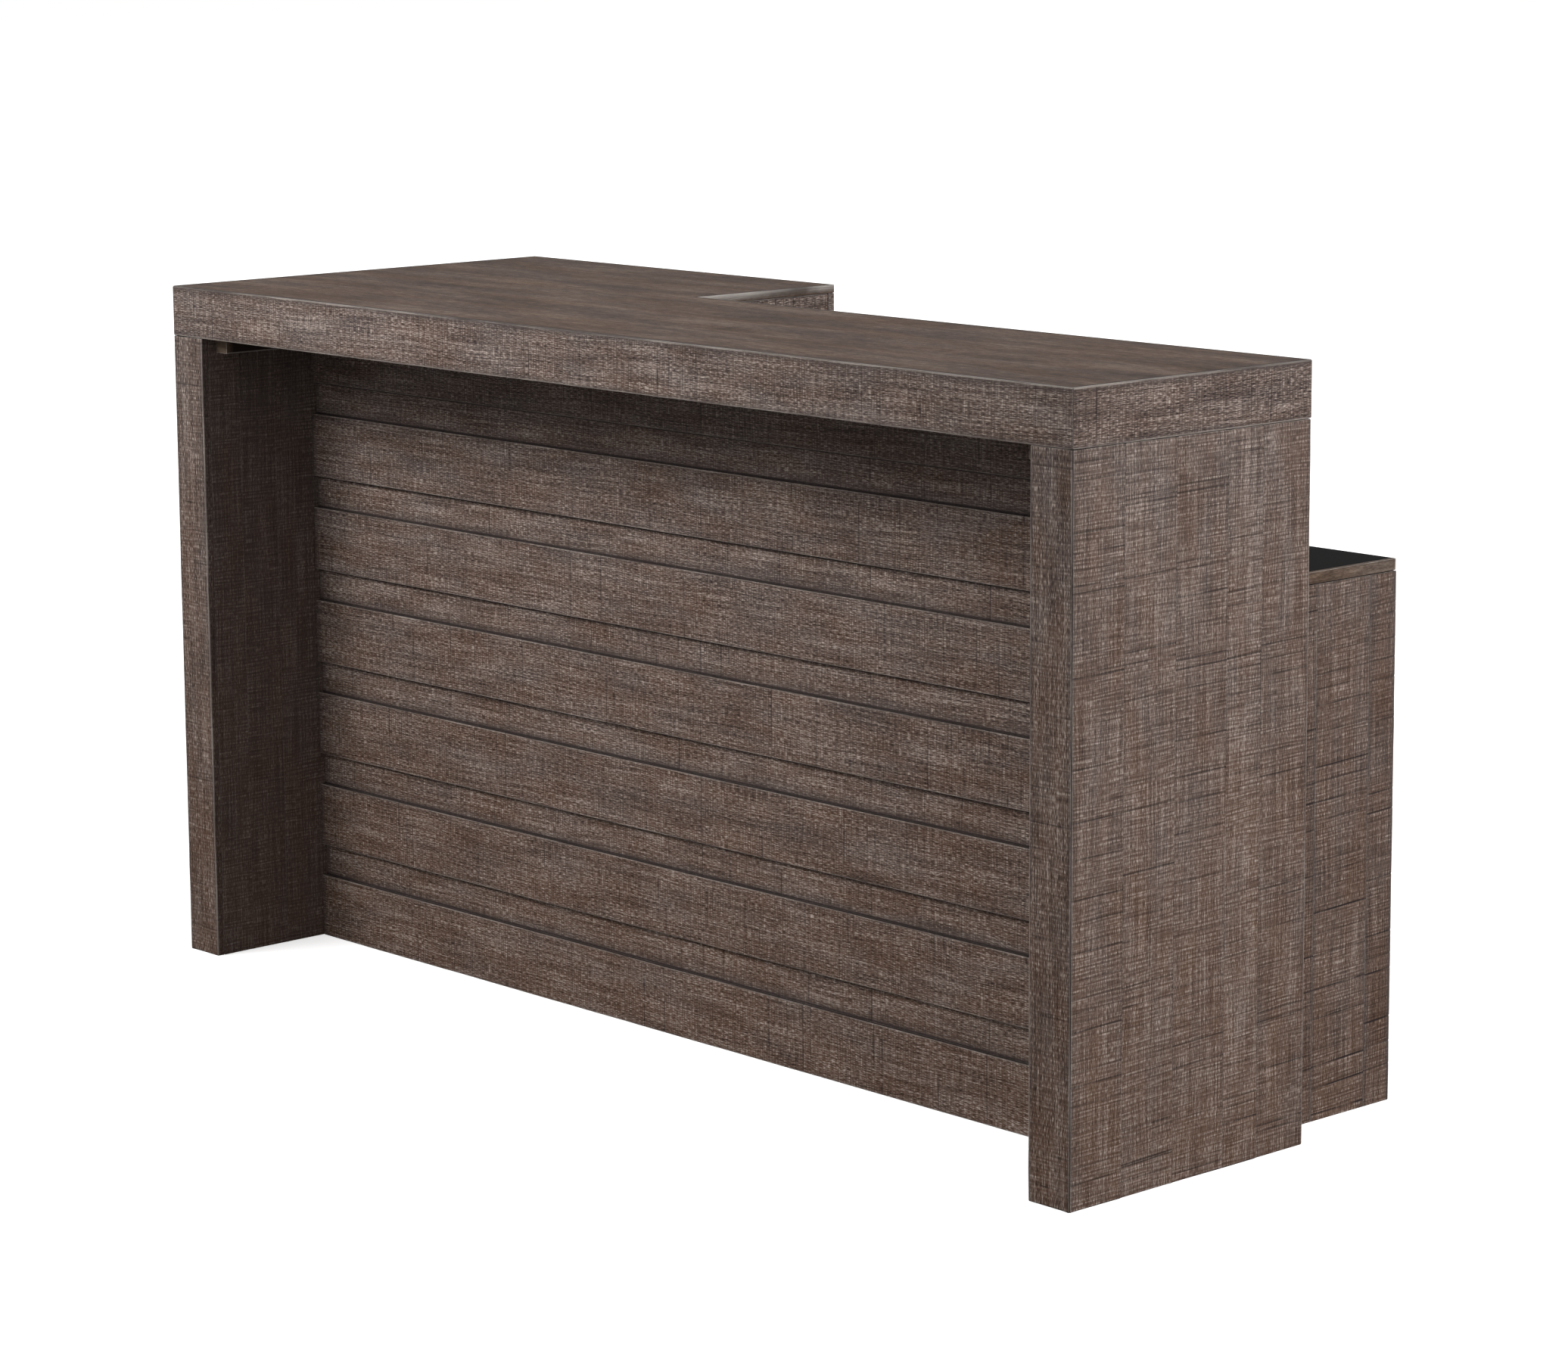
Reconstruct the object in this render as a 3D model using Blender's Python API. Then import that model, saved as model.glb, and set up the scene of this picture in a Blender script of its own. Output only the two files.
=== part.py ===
"""A home bar: an L-shaped bar top on built-up end panels, a planked front, and a service
cabinet with a lower counter behind it.

Lengths are metres and +Z is up. The numbers below are bench positions: X runs along the bar
from its left end, Y runs from the guests' edge of the top to the bartender's side, and Z is
up from the floor. One empty, the bench, carries every piece and moves that frame, so that the
part's own origin is on the floor at the centre of its footprint.
"""
import math

import bmesh
import bpy
from mathutils import Matrix, Vector

# Overall sizes
BAR_LENGTH = 1.9812
BAR_HEIGHT = 1.0795
RUN_DEPTH = 0.4572
WING_WIDTH = 0.7455
WING_SHELTER = 0.0134
GAP = 0.0003

# Bar top and its aprons
TOP_THICKNESS = 0.0127
APRON_THICKNESS = 0.0127
APRON_HEIGHT = 0.0794
TOP_CHAMFER = 0.0022
INNER_APRON_INSET = 0.0010

# End panels
END_THICKNESS = 0.0762
STILE_THICKNESS = 0.0127
JOINT_CHAMFER = 0.0012
EASE = 0.0012

# Planked front
KNEE_DEPTH = 0.2110
PLANK_WIDTH = 0.1016
PLANK_THICKNESS = 0.0080
PLANK_REVEAL = 0.0508
BACKING_THICKNESS = 0.0127

# Battens that tie the top to the end panels
CLEAT_WIDTH = 0.0286
CLEAT_SETBACK = 0.0280
CLEAT_DROP = 0.0240

# Service counter
COUNTER_HEIGHT = 0.7763
COUNTER_DEPTH = 0.7156
COUNTER_THICKNESS = 0.0159
SURFACE_THICKNESS = 0.0032
LIPPING_WIDTH = 0.0095
LIPPING_CORNER = 0.0040
COUNTER_END_THICKNESS = 0.0127
SHADOW_GAP = 0.0015

# Cabinet boards
BOARD = 0.0159
TOE_HEIGHT = 0.0762
TOE_RECESS = 0.0500
WINE_BAY_WIDTH = 0.3800
WING_SHELF_HEIGHT = 0.5200
SHELF_SETBACK = 0.0060

# Doors of the wing cabinet
REVEAL = 0.0025
FRONT_THICKNESS = 0.0190
DOOR_STAVES = 3
STAVE_GROOVE = 0.0020
PIVOT_INSET = 0.0120
PIVOT_DEPTH = 0.0065
PIVOT_RADIUS = 0.0025
PIVOT_CLEARANCE = 0.0001
PIVOT_REACH = 0.0120
PLATE_LENGTH = 0.0420
PLATE_DEPTH = 0.0140
PLATE_THICKNESS = 0.0014
PIVOT_SIDES = 24

# Pulls
PULL_SPAN = 0.0960
PULL_PROJECTION = 0.0240
PULL_RADIUS = 0.0040
PULL_BEND = 0.0080
DOOR_PULL_EDGE = 0.0350
DOOR_PULL_HEIGHT = 0.6600

# Drawers and their runners
DRAWER_FRONT_HEIGHT = 0.1500
BOX_HEIGHT = 0.1050
BOX_WALL = 0.0120
BOX_FLOOR = 0.0060
BOX_LIFT = 0.0120
BOX_BACK_SPACE = 0.0440
RUNNER_THICKNESS = 0.0127
RUNNER_HEIGHT = 0.0350
RUNNER_STEEL = 0.0013
RUNNER_LIP = 0.0085
RUNNER_PLAY = 0.0005
RUNNER_SETBACK = 0.0060
RUNNER_LIFT = 0.0300

# Wine lattice
LATTICE_THICKNESS = 0.0095
LATTICE_SETBACK = 0.0120

# Stemware rack
STEM_SLOTS = 5
STEM_PITCH = 0.1100
STEM_SLOT_WIDTH = 0.0280
STEM_NECK = 0.0180
STEM_PLATE = 0.0060
STEM_CHANNEL = 0.0160
STEM_FLANGE = 0.0080
STEM_FLARE = 0.0100
STEM_FLARE_LENGTH = 0.0300
STEM_SETBACK = 0.0120

# Levels and lines that follow from the sizes above. The wing's rear apron stands behind the
# cabinet's faces by WING_SHELTER.
WING_DEPTH = COUNTER_DEPTH + WING_SHELTER + APRON_THICKNESS
TOP_UNDERSIDE = BAR_HEIGHT - TOP_THICKNESS
CARRIED = TOP_UNDERSIDE - GAP
APRON_BOTTOM = BAR_HEIGHT - APRON_HEIGHT
END_TOP = APRON_BOTTOM - GAP
RIGHT_INNER = BAR_LENGTH - END_THICKNESS
COUNTER_OUTER = RIGHT_INNER + COUNTER_END_THICKNESS
BACKING_Y = KNEE_DEPTH + PLANK_THICKNESS + GAP
CAVITY_Y = BACKING_Y + BACKING_THICKNESS + GAP
WING_SIDE_OUTER = WING_WIDTH - INNER_APRON_INSET - APRON_THICKNESS - GAP
WING_SIDE_INNER = WING_SIDE_OUTER - BOARD
COUNTER_LEFT = WING_SIDE_OUTER + GAP
COUNTER_UNDERSIDE = COUNTER_HEIGHT - COUNTER_THICKNESS
FLOOR_TOP = TOE_HEIGHT + BOARD
DECK_TOP = COUNTER_UNDERSIDE - DRAWER_FRONT_HEIGHT - 2 * REVEAL
WINE_PARTITION = COUNTER_LEFT + WINE_BAY_WIDTH
DRAWER_BAY = (RIGHT_INNER - WINE_PARTITION - 2 * BOARD) / 2
MIDDLE_PARTITION = WINE_PARTITION + BOARD + DRAWER_BAY
OVERALL_DEPTH = max(WING_DEPTH, COUNTER_DEPTH + PULL_PROJECTION)

ROUGH_SAWN = ("#685A50", 0.72, 0.0)
SMOOTH_WOOD = ("#6C5D53", 0.58, 0.0)
CABINET_WOOD = ("#574A41", 0.66, 0.0)
BLACK_SURFACE = ("#232323", 0.38, 0.0)
DARK_STEEL = ("#2E2A28", 0.40, 0.9)
ZINC_STEEL = ("#8E9092", 0.35, 1.0)


def clear_scene():
    for obj in list(bpy.data.objects):
        bpy.data.objects.remove(obj, do_unlink=True)


def linear(hex_colour):
    """An sRGB hex colour as linear RGBA."""
    channels = [int(hex_colour[i:i + 2], 16) / 255 for i in (1, 3, 5)]
    return [c / 12.92 if c <= 0.04045 else ((c + 0.055) / 1.055) ** 2.4 for c in channels] + [1.0]


def finish(name, look):
    """A plain material for one piece."""
    colour, roughness, metallic = look
    material = bpy.data.materials.new(name + "_finish")
    material.use_nodes = True
    shader = material.node_tree.nodes["Principled BSDF"]
    shader.inputs["Base Color"].default_value = linear(colour)
    shader.inputs["Roughness"].default_value = roughness
    shader.inputs["Metallic"].default_value = metallic
    material.diffuse_color = linear(colour)
    return material


def carrier(name, position, parent=None):
    """An empty at a bench position, on a joint's axis where its pieces move."""
    empty = bpy.data.objects.new(name, None)
    bpy.context.scene.collection.objects.link(empty)
    empty.parent = parent
    empty.location = position
    return empty


def place(obj, position, parent):
    """Puts an object at a bench position under the bench or under a moving carrier."""
    bpy.context.scene.collection.objects.link(obj)
    obj.parent = parent
    obj.location = Vector(position) - (parent.location if parent.parent else Vector())
    return obj


def ease_edges(obj, width, segments=1):
    """Rounds every edge sharper than 40 degrees."""
    bevel = obj.modifiers.new("eased edges", "BEVEL")
    bevel.width = width
    bevel.segments = segments
    bevel.limit_method = "ANGLE"
    bevel.angle_limit = math.radians(40)


def board(name, low, high, look, parent, ease=EASE):
    """A straight board between two opposite corners."""
    centre = [(a + b) / 2 for a, b in zip(low, high)]
    size = [b - a for a, b in zip(low, high)]
    shape = bmesh.new()
    bmesh.ops.create_cube(shape, size=1.0, matrix=Matrix.Diagonal((*size, 1.0)))
    mesh = bpy.data.meshes.new(name)
    shape.to_mesh(mesh)
    shape.free()
    mesh.materials.append(finish(name, look))
    obj = place(bpy.data.objects.new(name, mesh), centre, parent)
    if ease:
        ease_edges(obj, ease)
    return obj


def loft(name, rings, look, parent, eased=None, width=EASE, segments=1):
    """A closed solid through rings of points, with flat ends.

    Every ring has the same number of points. The edges that eased(a, b) picks by their two
    end points are rounded by width.
    """
    origin = Vector(rings[0][0])
    shape = bmesh.new()
    loops = [[shape.verts.new(Vector(p) - origin) for p in ring] for ring in rings]
    count = len(loops[0])
    for lower, upper in zip(loops, loops[1:]):
        for i in range(count):
            j = (i + 1) % count
            shape.faces.new((lower[i], lower[j], upper[j], upper[i]))
    shape.faces.new(loops[0][::-1])
    shape.faces.new(loops[-1])
    bmesh.ops.recalc_face_normals(shape, faces=shape.faces[:])
    if eased:
        weights = shape.edges.layers.float.new("bevel_weight_edge")
        for edge in shape.edges:
            ends = [v.co + origin for v in edge.verts]
            edge[weights] = 1.0 if eased(*ends) else 0.0
    mesh = bpy.data.meshes.new(name)
    shape.to_mesh(mesh)
    shape.free()
    mesh.materials.append(finish(name, look))
    obj = place(bpy.data.objects.new(name, mesh), origin, parent)
    if eased:
        bevel = obj.modifiers.new("eased edges", "BEVEL")
        bevel.width = width
        bevel.segments = segments
        bevel.limit_method = "WEIGHT"
    return obj


def plate(outline, low, high, axis):
    """Two rings: an outline in the plane across axis 0, 1 or 2, at its low and high ends."""
    rings = []
    for level in (low, high):
        ring = []
        for u, v in outline:
            point = [u, v]
            point.insert(axis, level)
            ring.append(tuple(point))
        rings.append(ring)
    return rings


def cut(obj, cutter):
    """Takes the cutter's shape out of a piece."""
    cutter.hide_render = True
    cutter.display_type = "WIRE"
    boolean = obj.modifiers.new("cut", "BOOLEAN")
    boolean.operation = "DIFFERENCE"
    boolean.solver = "EXACT"
    boolean.object = cutter


def join_shape(obj, other):
    """Grows a piece by another shape, which is left as a guide."""
    cut(obj, other)
    obj.modifiers[-1].operation = "UNION"


def upright(x, y):
    """Picks the vertical edges that stand at one plan position."""
    def picks(a, b):
        near = all(math.hypot(p.x - x, p.y - y) < 0.0009 for p in (a, b))
        return near and abs(a.z - b.z) > 0.01
    return picks


def bar_top(bench):
    """The L-shaped top board.

    Its guests' edge and both ends fold into the aprons on a mitre with a shared chamfer, and
    its three other edges are square.
    """
    share = TOP_CHAMFER / (TOP_THICKNESS + APRON_THICKNESS)
    levels = ((BAR_HEIGHT, TOP_CHAMFER),
              (BAR_HEIGHT - share * TOP_THICKNESS, share * APRON_THICKNESS + 2 * GAP),
              (TOP_UNDERSIDE, APRON_THICKNESS + 2 * GAP))
    rings = []
    for z, inset in levels:
        left, right, front = inset, BAR_LENGTH - inset, inset
        outline = ((left, front), (right, front), (right, RUN_DEPTH),
                   (WING_WIDTH, RUN_DEPTH), (WING_WIDTH, WING_DEPTH), (left, WING_DEPTH))
        rings.append([(x, y, z) for x, y in outline])

    def square_edge(a, b):
        on_top = min(a.z, b.z) > BAR_HEIGHT - GAP
        back = max(a.y, b.y) > RUN_DEPTH - GAP and min(a.y, b.y) > TOP_CHAMFER + GAP
        outer_end = min(a.x, b.x) > BAR_LENGTH / 2 and abs(a.x - b.x) < GAP
        left_end = max(a.x, b.x) < TOP_CHAMFER + GAP
        return on_top and back and not outer_end and not left_end

    loft("bar_top", rings, SMOOTH_WOOD, bench, square_edge, EASE)


def apron_profile(depth):
    """The apron's section at points of the given inward depths, from its bottom edge round."""
    share = TOP_CHAMFER / (TOP_THICKNESS + APRON_THICKNESS)
    return ((0.0, APRON_BOTTOM), (0.0, BAR_HEIGHT - TOP_CHAMFER),
            (share * depth, BAR_HEIGHT - share * TOP_THICKNESS),
            (depth, TOP_UNDERSIDE), (depth, APRON_BOTTOM))


def aprons(bench):
    """Five aprons hang round the lid: three mitred outer ones and two under the board."""
    section = apron_profile(APRON_THICKNESS)
    front = [[(n + GAP, n, z) for n, z in section],
             [(BAR_LENGTH - n - GAP, n, z) for n, z in section]]

    def front_corners(a, b):
        return upright(GAP, 0.0)(a, b) or upright(BAR_LENGTH - GAP, 0.0)(a, b)

    loft("apron_front", front, ROUGH_SAWN, bench, front_corners, JOINT_CHAMFER)
    right = [[(BAR_LENGTH - n, n + GAP, z) for n, z in section],
             [(BAR_LENGTH - n, RUN_DEPTH, z) for n, z in section]]
    loft("apron_right", right, ROUGH_SAWN, bench, upright(BAR_LENGTH, GAP), JOINT_CHAMFER)
    left = [[(n, n + GAP, z) for n, z in section],
            [(n, WING_DEPTH, z) for n, z in section]]
    loft("apron_left", left, ROUGH_SAWN, bench, upright(0.0, GAP), JOINT_CHAMFER)
    board("apron_wing_back", (APRON_THICKNESS + GAP, WING_DEPTH - APRON_THICKNESS, APRON_BOTTOM),
          (WING_WIDTH, WING_DEPTH, CARRIED), ROUGH_SAWN, bench)
    inner = WING_WIDTH - INNER_APRON_INSET
    board("apron_wing_inner", (inner - APRON_THICKNESS, CAVITY_Y, APRON_BOTTOM),
          (inner, WING_DEPTH - APRON_THICKNESS - GAP, CARRIED), ROUGH_SAWN, bench)


def end_panel(name, bench, outer, inward, depth):
    """A built-up end: a thick panel whose outer face meets a front stile on a mitre."""
    inner = outer + inward * END_THICKNESS
    fold = outer + inward * STILE_THICKNESS
    step = STILE_THICKNESS + GAP
    panel = ((outer, 2 * GAP), (outer, depth), (inner, depth), (inner, step), (fold, step))
    loft(name + "_panel", plate(panel, 0.0, END_TOP, 2), ROUGH_SAWN, bench,
         upright(outer, 2 * GAP), JOINT_CHAMFER)
    stile = ((outer + inward * GAP, 0.0), (inner, 0.0), (inner, STILE_THICKNESS),
             (fold + inward * GAP, STILE_THICKNESS))

    def corners(a, b):
        return upright(outer + inward * GAP, 0.0)(a, b) or upright(inner, 0.0)(a, b)

    loft(name + "_stile", plate(stile, 0.0, END_TOP, 2), ROUGH_SAWN, bench, corners, JOINT_CHAMFER)


def planked_front(bench):
    """A backing panel with proud planks; the reveals between them show the backing."""
    left, right = END_THICKNESS + GAP, RIGHT_INNER - GAP
    board("front_backing", (left, BACKING_Y, 0.0),
          (right, BACKING_Y + BACKING_THICKNESS, CARRIED), ROUGH_SAWN, bench, ease=0)
    pitch = PLANK_WIDTH + PLANK_REVEAL
    count = int((CARRIED + PLANK_REVEAL) / pitch)
    for i in range(count):
        bottom = i * pitch
        board(f"front_plank_{i + 1}", (left, KNEE_DEPTH, bottom),
              (right, KNEE_DEPTH + PLANK_THICKNESS, bottom + PLANK_WIDTH), ROUGH_SAWN, bench)


def cleats(bench):
    """Battens on the inner faces of the end panels, in front of the planks."""
    bottom = APRON_BOTTOM - CLEAT_DROP
    starts = {"cleat_left": END_THICKNESS + GAP, "cleat_right": RIGHT_INNER - GAP - CLEAT_WIDTH}
    for name, x in starts.items():
        board(name, (x, CLEAT_SETBACK, bottom), (x + CLEAT_WIDTH, KNEE_DEPTH - GAP, CARRIED),
              CABINET_WOOD, bench)


def counter(bench):
    """The lower counter: a board, its black surface, the end lipping and the end panel."""
    notch = RUN_DEPTH + GAP
    edge = COUNTER_OUTER - LIPPING_WIDTH - GAP
    outline = ((COUNTER_LEFT, CAVITY_Y), (RIGHT_INNER - GAP, CAVITY_Y), (RIGHT_INNER - GAP, notch),
               (edge, notch), (edge, COUNTER_DEPTH), (COUNTER_LEFT, COUNTER_DEPTH))
    seam = COUNTER_HEIGHT - SURFACE_THICKNESS
    loft("counter_board", plate(outline, COUNTER_UNDERSIDE, seam - GAP, 2), SMOOTH_WOOD, bench)
    loft("counter_surface", plate(outline, seam, COUNTER_HEIGHT, 2), BLACK_SURFACE, bench)
    low = COUNTER_OUTER - LIPPING_WIDTH
    lipping = ((low, notch), (COUNTER_OUTER, notch), (COUNTER_OUTER, COUNTER_DEPTH),
               (low, COUNTER_DEPTH))
    loft("counter_lipping", plate(lipping, COUNTER_UNDERSIDE, COUNTER_HEIGHT, 2), SMOOTH_WOOD,
         bench, upright(COUNTER_OUTER, COUNTER_DEPTH), LIPPING_CORNER, 3)
    board("counter_end_panel", (RIGHT_INNER, notch, 0.0),
          (COUNTER_OUTER, COUNTER_DEPTH, COUNTER_UNDERSIDE - SHADOW_GAP), ROUGH_SAWN, bench)


def cabinet_boards(bench):
    """The boxes under the wing and the counter, open to the bartender."""
    toe_front = COUNTER_DEPTH - TOE_RECESS
    notch = toe_front - BOARD - GAP
    side = ((CAVITY_Y, 0.0), (notch, 0.0), (notch, TOE_HEIGHT), (COUNTER_DEPTH, TOE_HEIGHT),
            (COUNTER_DEPTH, CARRIED), (CAVITY_Y, CARRIED))
    loft("wing_side", plate(side, WING_SIDE_INNER, WING_SIDE_OUTER, 0), CABINET_WOOD, bench)
    wing = (END_THICKNESS + GAP, WING_SIDE_INNER - GAP)
    run = (COUNTER_LEFT, RIGHT_INNER - GAP)
    board("toe_kick", (wing[0], toe_front - BOARD, 0.0), (run[1], toe_front, TOE_HEIGHT - GAP),
          CABINET_WOOD, bench)
    for name, span in (("wing_bottom", wing), ("counter_bottom", run)):
        board(name, (span[0], CAVITY_Y, TOE_HEIGHT), (span[1], COUNTER_DEPTH, FLOOR_TOP),
              CABINET_WOOD, bench)
    board("wing_cabinet_top", (wing[0], CAVITY_Y, END_TOP - BOARD),
          (wing[1], COUNTER_DEPTH, END_TOP), CABINET_WOOD, bench)
    board("wing_shelf", (wing[0], CAVITY_Y, WING_SHELF_HEIGHT - BOARD),
          (wing[1], COUNTER_DEPTH - FRONT_THICKNESS - SHELF_SETBACK, WING_SHELF_HEIGHT),
          CABINET_WOOD, bench)
    for name, x in (("partition_wine", WINE_PARTITION), ("partition_middle", MIDDLE_PARTITION)):
        board(name, (x, CAVITY_Y, FLOOR_TOP + GAP), (x + BOARD, COUNTER_DEPTH,
              COUNTER_UNDERSIDE - GAP), CABINET_WOOD, bench)


def bays():
    """The clear X spans of the counter's three bays, from the wing to the right end."""
    return ((COUNTER_LEFT - GAP, WINE_PARTITION),
            (WINE_PARTITION + BOARD, MIDDLE_PARTITION),
            (MIDDLE_PARTITION + BOARD, RIGHT_INNER))


def decks(bench):
    """One fixed deck in each bay, at the line under the drawers."""
    for name, (left, right) in zip(("wine_deck", "drawer_deck_1", "drawer_deck_2"), bays()):
        board(name, (left + GAP, CAVITY_Y, DECK_TOP - BOARD),
              (right - GAP, COUNTER_DEPTH, DECK_TOP), CABINET_WOOD, bench)


def pull(name, centre, upright_pull, parent):
    """A bent round bar: two posts that leave the front and turn into a straight grip."""
    reach = PULL_PROJECTION - PULL_RADIUS
    half = PULL_SPAN / 2
    side = [(half, GAP)]
    for i in range(5):
        angle = math.radians(90 * i / 4)
        side.append((half - PULL_BEND + PULL_BEND * math.cos(angle),
                     reach - PULL_BEND + PULL_BEND * math.sin(angle)))
    path = side + [(-u, v) for u, v in reversed(side)]
    curve = bpy.data.curves.new(name, "CURVE")
    curve.dimensions = "3D"
    curve.bevel_depth = PULL_RADIUS
    curve.bevel_resolution = 2
    curve.use_fill_caps = True
    spline = curve.splines.new("POLY")
    spline.points.add(len(path) - 1)
    for knot, (u, v) in zip(spline.points, path):
        knot.co = (u, v, 0.0, 1.0)
    curve.materials.append(finish(name, DARK_STEEL))
    obj = place(bpy.data.objects.new(name, curve), centre, parent)
    if upright_pull:
        obj.rotation_euler = (0.0, math.radians(90), 0.0)


def cylinder(name, position, radius, height, look, parent):
    """A round solid that stands on a bench position."""
    shape = bmesh.new()
    bmesh.ops.create_cone(shape, cap_ends=True, segments=PIVOT_SIDES, radius1=radius,
                          radius2=radius, depth=height,
                          matrix=Matrix.Translation((0.0, 0.0, height / 2)))
    mesh = bpy.data.meshes.new(name)
    shape.to_mesh(mesh)
    shape.free()
    mesh.materials.append(finish(name, look))
    return place(bpy.data.objects.new(name, mesh), position, parent)


def door_outline(low, high):
    """Plan of a door: a slab whose outer face has a V groove between staves."""
    back, face = COUNTER_DEPTH - FRONT_THICKNESS, COUNTER_DEPTH
    outline = [(low, back), (high, back), (high, face)]
    for i in range(DOOR_STAVES - 1, 0, -1):
        x = low + (high - low) * i / DOOR_STAVES
        outline += [(x + STAVE_GROOVE, face), (x, face - STAVE_GROOVE), (x - STAVE_GROOVE, face)]
    return outline + [(low, face)]


def wing_door(name, bench, hinge_edge, free_edge):
    """An inset door on a pivot pin at its foot and one at its head."""
    toward = 1 if free_edge > hinge_edge else -1
    bottom = FLOOR_TOP + REVEAL
    top = END_TOP - BOARD - REVEAL
    pivot_x = hinge_edge + toward * PIVOT_INSET
    pivot_y = COUNTER_DEPTH - PIVOT_DEPTH
    axis = carrier(name + "_axis", (pivot_x, pivot_y, bottom), bench)
    outline = door_outline(min(hinge_edge, free_edge), max(hinge_edge, free_edge))
    door = loft(name, plate(outline, bottom, top, 2), ROUGH_SAWN, axis)
    bore = PIVOT_RADIUS / math.cos(math.pi / PIVOT_SIDES) + PIVOT_CLEARANCE
    depth = PIVOT_REACH + REVEAL
    for end, start in (("foot", bottom - REVEAL), ("head", top + REVEAL - depth)):
        cut(door, cylinder(f"{name}_{end}_bore", (pivot_x, pivot_y, start), bore,
                           depth, DARK_STEEL, axis))
    pivot_plate(name + "_foot_pivot", bench, pivot_x, pivot_y, FLOOR_TOP + GAP, 1, toward)
    pivot_plate(name + "_head_pivot", bench, pivot_x, pivot_y, END_TOP - BOARD - GAP, -1, toward)
    grip = (free_edge - toward * DOOR_PULL_EDGE, COUNTER_DEPTH, DOOR_PULL_HEIGHT)
    pull(name + "_pull", grip, True, axis)


def pivot_plate(name, bench, x, y, seat, rise, toward):
    """A steel plate on the cabinet's floor or ceiling, with the pin that the door turns on."""
    start = x - toward * (PIVOT_INSET - REVEAL)
    far = start + toward * PLATE_LENGTH
    back = COUNTER_DEPTH - REVEAL - PLATE_DEPTH
    low = (min(start, far), back, min(seat, seat + rise * PLATE_THICKNESS))
    high = (max(start, far), COUNTER_DEPTH - REVEAL, max(seat, seat + rise * PLATE_THICKNESS))
    plate_piece = board(name, low, high, ZINC_STEEL, bench, ease=0)
    length = PIVOT_REACH + PLATE_THICKNESS / 2
    foot = seat + PLATE_THICKNESS / 2 if rise > 0 else seat - PLATE_THICKNESS / 2 - length
    join_shape(plate_piece, cylinder(name + "_pin", (x, y, foot), PIVOT_RADIUS, length,
                                     ZINC_STEEL, bench))


def wing_doors(bench):
    """A pair of doors between the left end panel and the wing's side."""
    left, right = END_THICKNESS + REVEAL, WING_SIDE_INNER - REVEAL
    middle = (left + right) / 2
    wing_door("wing_door_left", bench, left, middle - REVEAL / 2)
    wing_door("wing_door_right", bench, right, middle + REVEAL / 2)


def open_box(name, low, high, look, parent):
    """A box with no lid: the top face is inset by the wall and pushed down to the floor."""
    centre = [(a + b) / 2 for a, b in zip(low, high)]
    size = [b - a for a, b in zip(low, high)]
    shape = bmesh.new()
    bmesh.ops.create_cube(shape, size=1.0, matrix=Matrix.Diagonal((*size, 1.0)))
    lid = max(shape.faces, key=lambda face: face.calc_center_median().z)
    bmesh.ops.inset_region(shape, faces=[lid], thickness=BOX_WALL)
    pushed = bmesh.ops.extrude_discrete_faces(shape, faces=[lid])["faces"]
    drop = Vector((0.0, 0.0, BOX_FLOOR - size[2]))
    bmesh.ops.translate(shape, vec=drop, verts=pushed[0].verts[:])
    mesh = bpy.data.meshes.new(name)
    shape.to_mesh(mesh)
    shape.free()
    mesh.materials.append(finish(name, look))
    return place(bpy.data.objects.new(name, mesh), centre, parent)


def runner_section(wall, toward, height, tip):
    """A C section: the web stands on the wall and both flanges reach towards the tip."""
    web = wall + toward * RUNNER_STEEL
    low, high = -height / 2, height / 2
    return ((wall, low), (tip, low), (tip, low + RUNNER_STEEL), (web, low + RUNNER_STEEL),
            (web, high - RUNNER_STEEL), (tip, high - RUNNER_STEEL), (tip, high), (wall, high))


def runner(name, section, start, end, level, parent):
    """A steel section along Y at one level."""
    rings = [[(x, y, level + z) for x, z in section] for y in (start, end)]
    loft(name, rings, ZINC_STEEL, parent)


def drawer(number, bench, left, right):
    """A drawer: front, open box, pull, and a two-part steel runner on each side."""
    name = f"drawer_{number}"
    bottom = DECK_TOP + BOX_LIFT
    back = CAVITY_Y + BOX_BACK_SPACE
    front_back = COUNTER_DEPTH - FRONT_THICKNESS
    slide = carrier(name + "_slide", ((left + right) / 2, front_back, bottom), bench)
    board(name + "_front", (left + REVEAL, front_back, DECK_TOP + REVEAL),
          (right - REVEAL, COUNTER_DEPTH, COUNTER_UNDERSIDE - REVEAL), ROUGH_SAWN, slide)
    space = RUNNER_THICKNESS + 2 * GAP
    open_box(name + "_box", (left + space, back, bottom),
             (right - space, front_back - GAP, bottom + BOX_HEIGHT), CABINET_WOOD, slide)
    middle = (DECK_TOP + COUNTER_UNDERSIDE) / 2
    pull(name + "_pull", ((left + right) / 2, COUNTER_DEPTH, middle), False, slide)
    level = bottom + RUNNER_LIFT
    start, end = back + RUNNER_SETBACK, front_back - RUNNER_SETBACK
    inner_height = RUNNER_HEIGHT - 2 * (RUNNER_STEEL + RUNNER_PLAY)
    for side, wall, toward in (("left", left, 1), ("right", right, -1)):
        fixed_web = wall + toward * GAP
        box_web = fixed_web + toward * RUNNER_THICKNESS
        fixed = runner_section(fixed_web, toward, RUNNER_HEIGHT, fixed_web + toward * RUNNER_LIP)
        moving = runner_section(box_web, -toward, inner_height, box_web - toward * RUNNER_LIP)
        runner(f"{name}_rail_{side}", fixed, start, end, level, bench)
        runner(f"{name}_runner_{side}", moving, start, end, level, slide)


def lattice_outline(width, height, thickness):
    """A strip along the rising diagonal of a rectangle, cut off by the rectangle's sides."""
    length = math.hypot(width, height)
    along_x = thickness / 2 * length / height
    along_z = thickness / 2 * length / width
    return ((0.0, 0.0), (along_x, 0.0), (width, height - along_z), (width, height),
            (width - along_x, height), (0.0, along_z))


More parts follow.
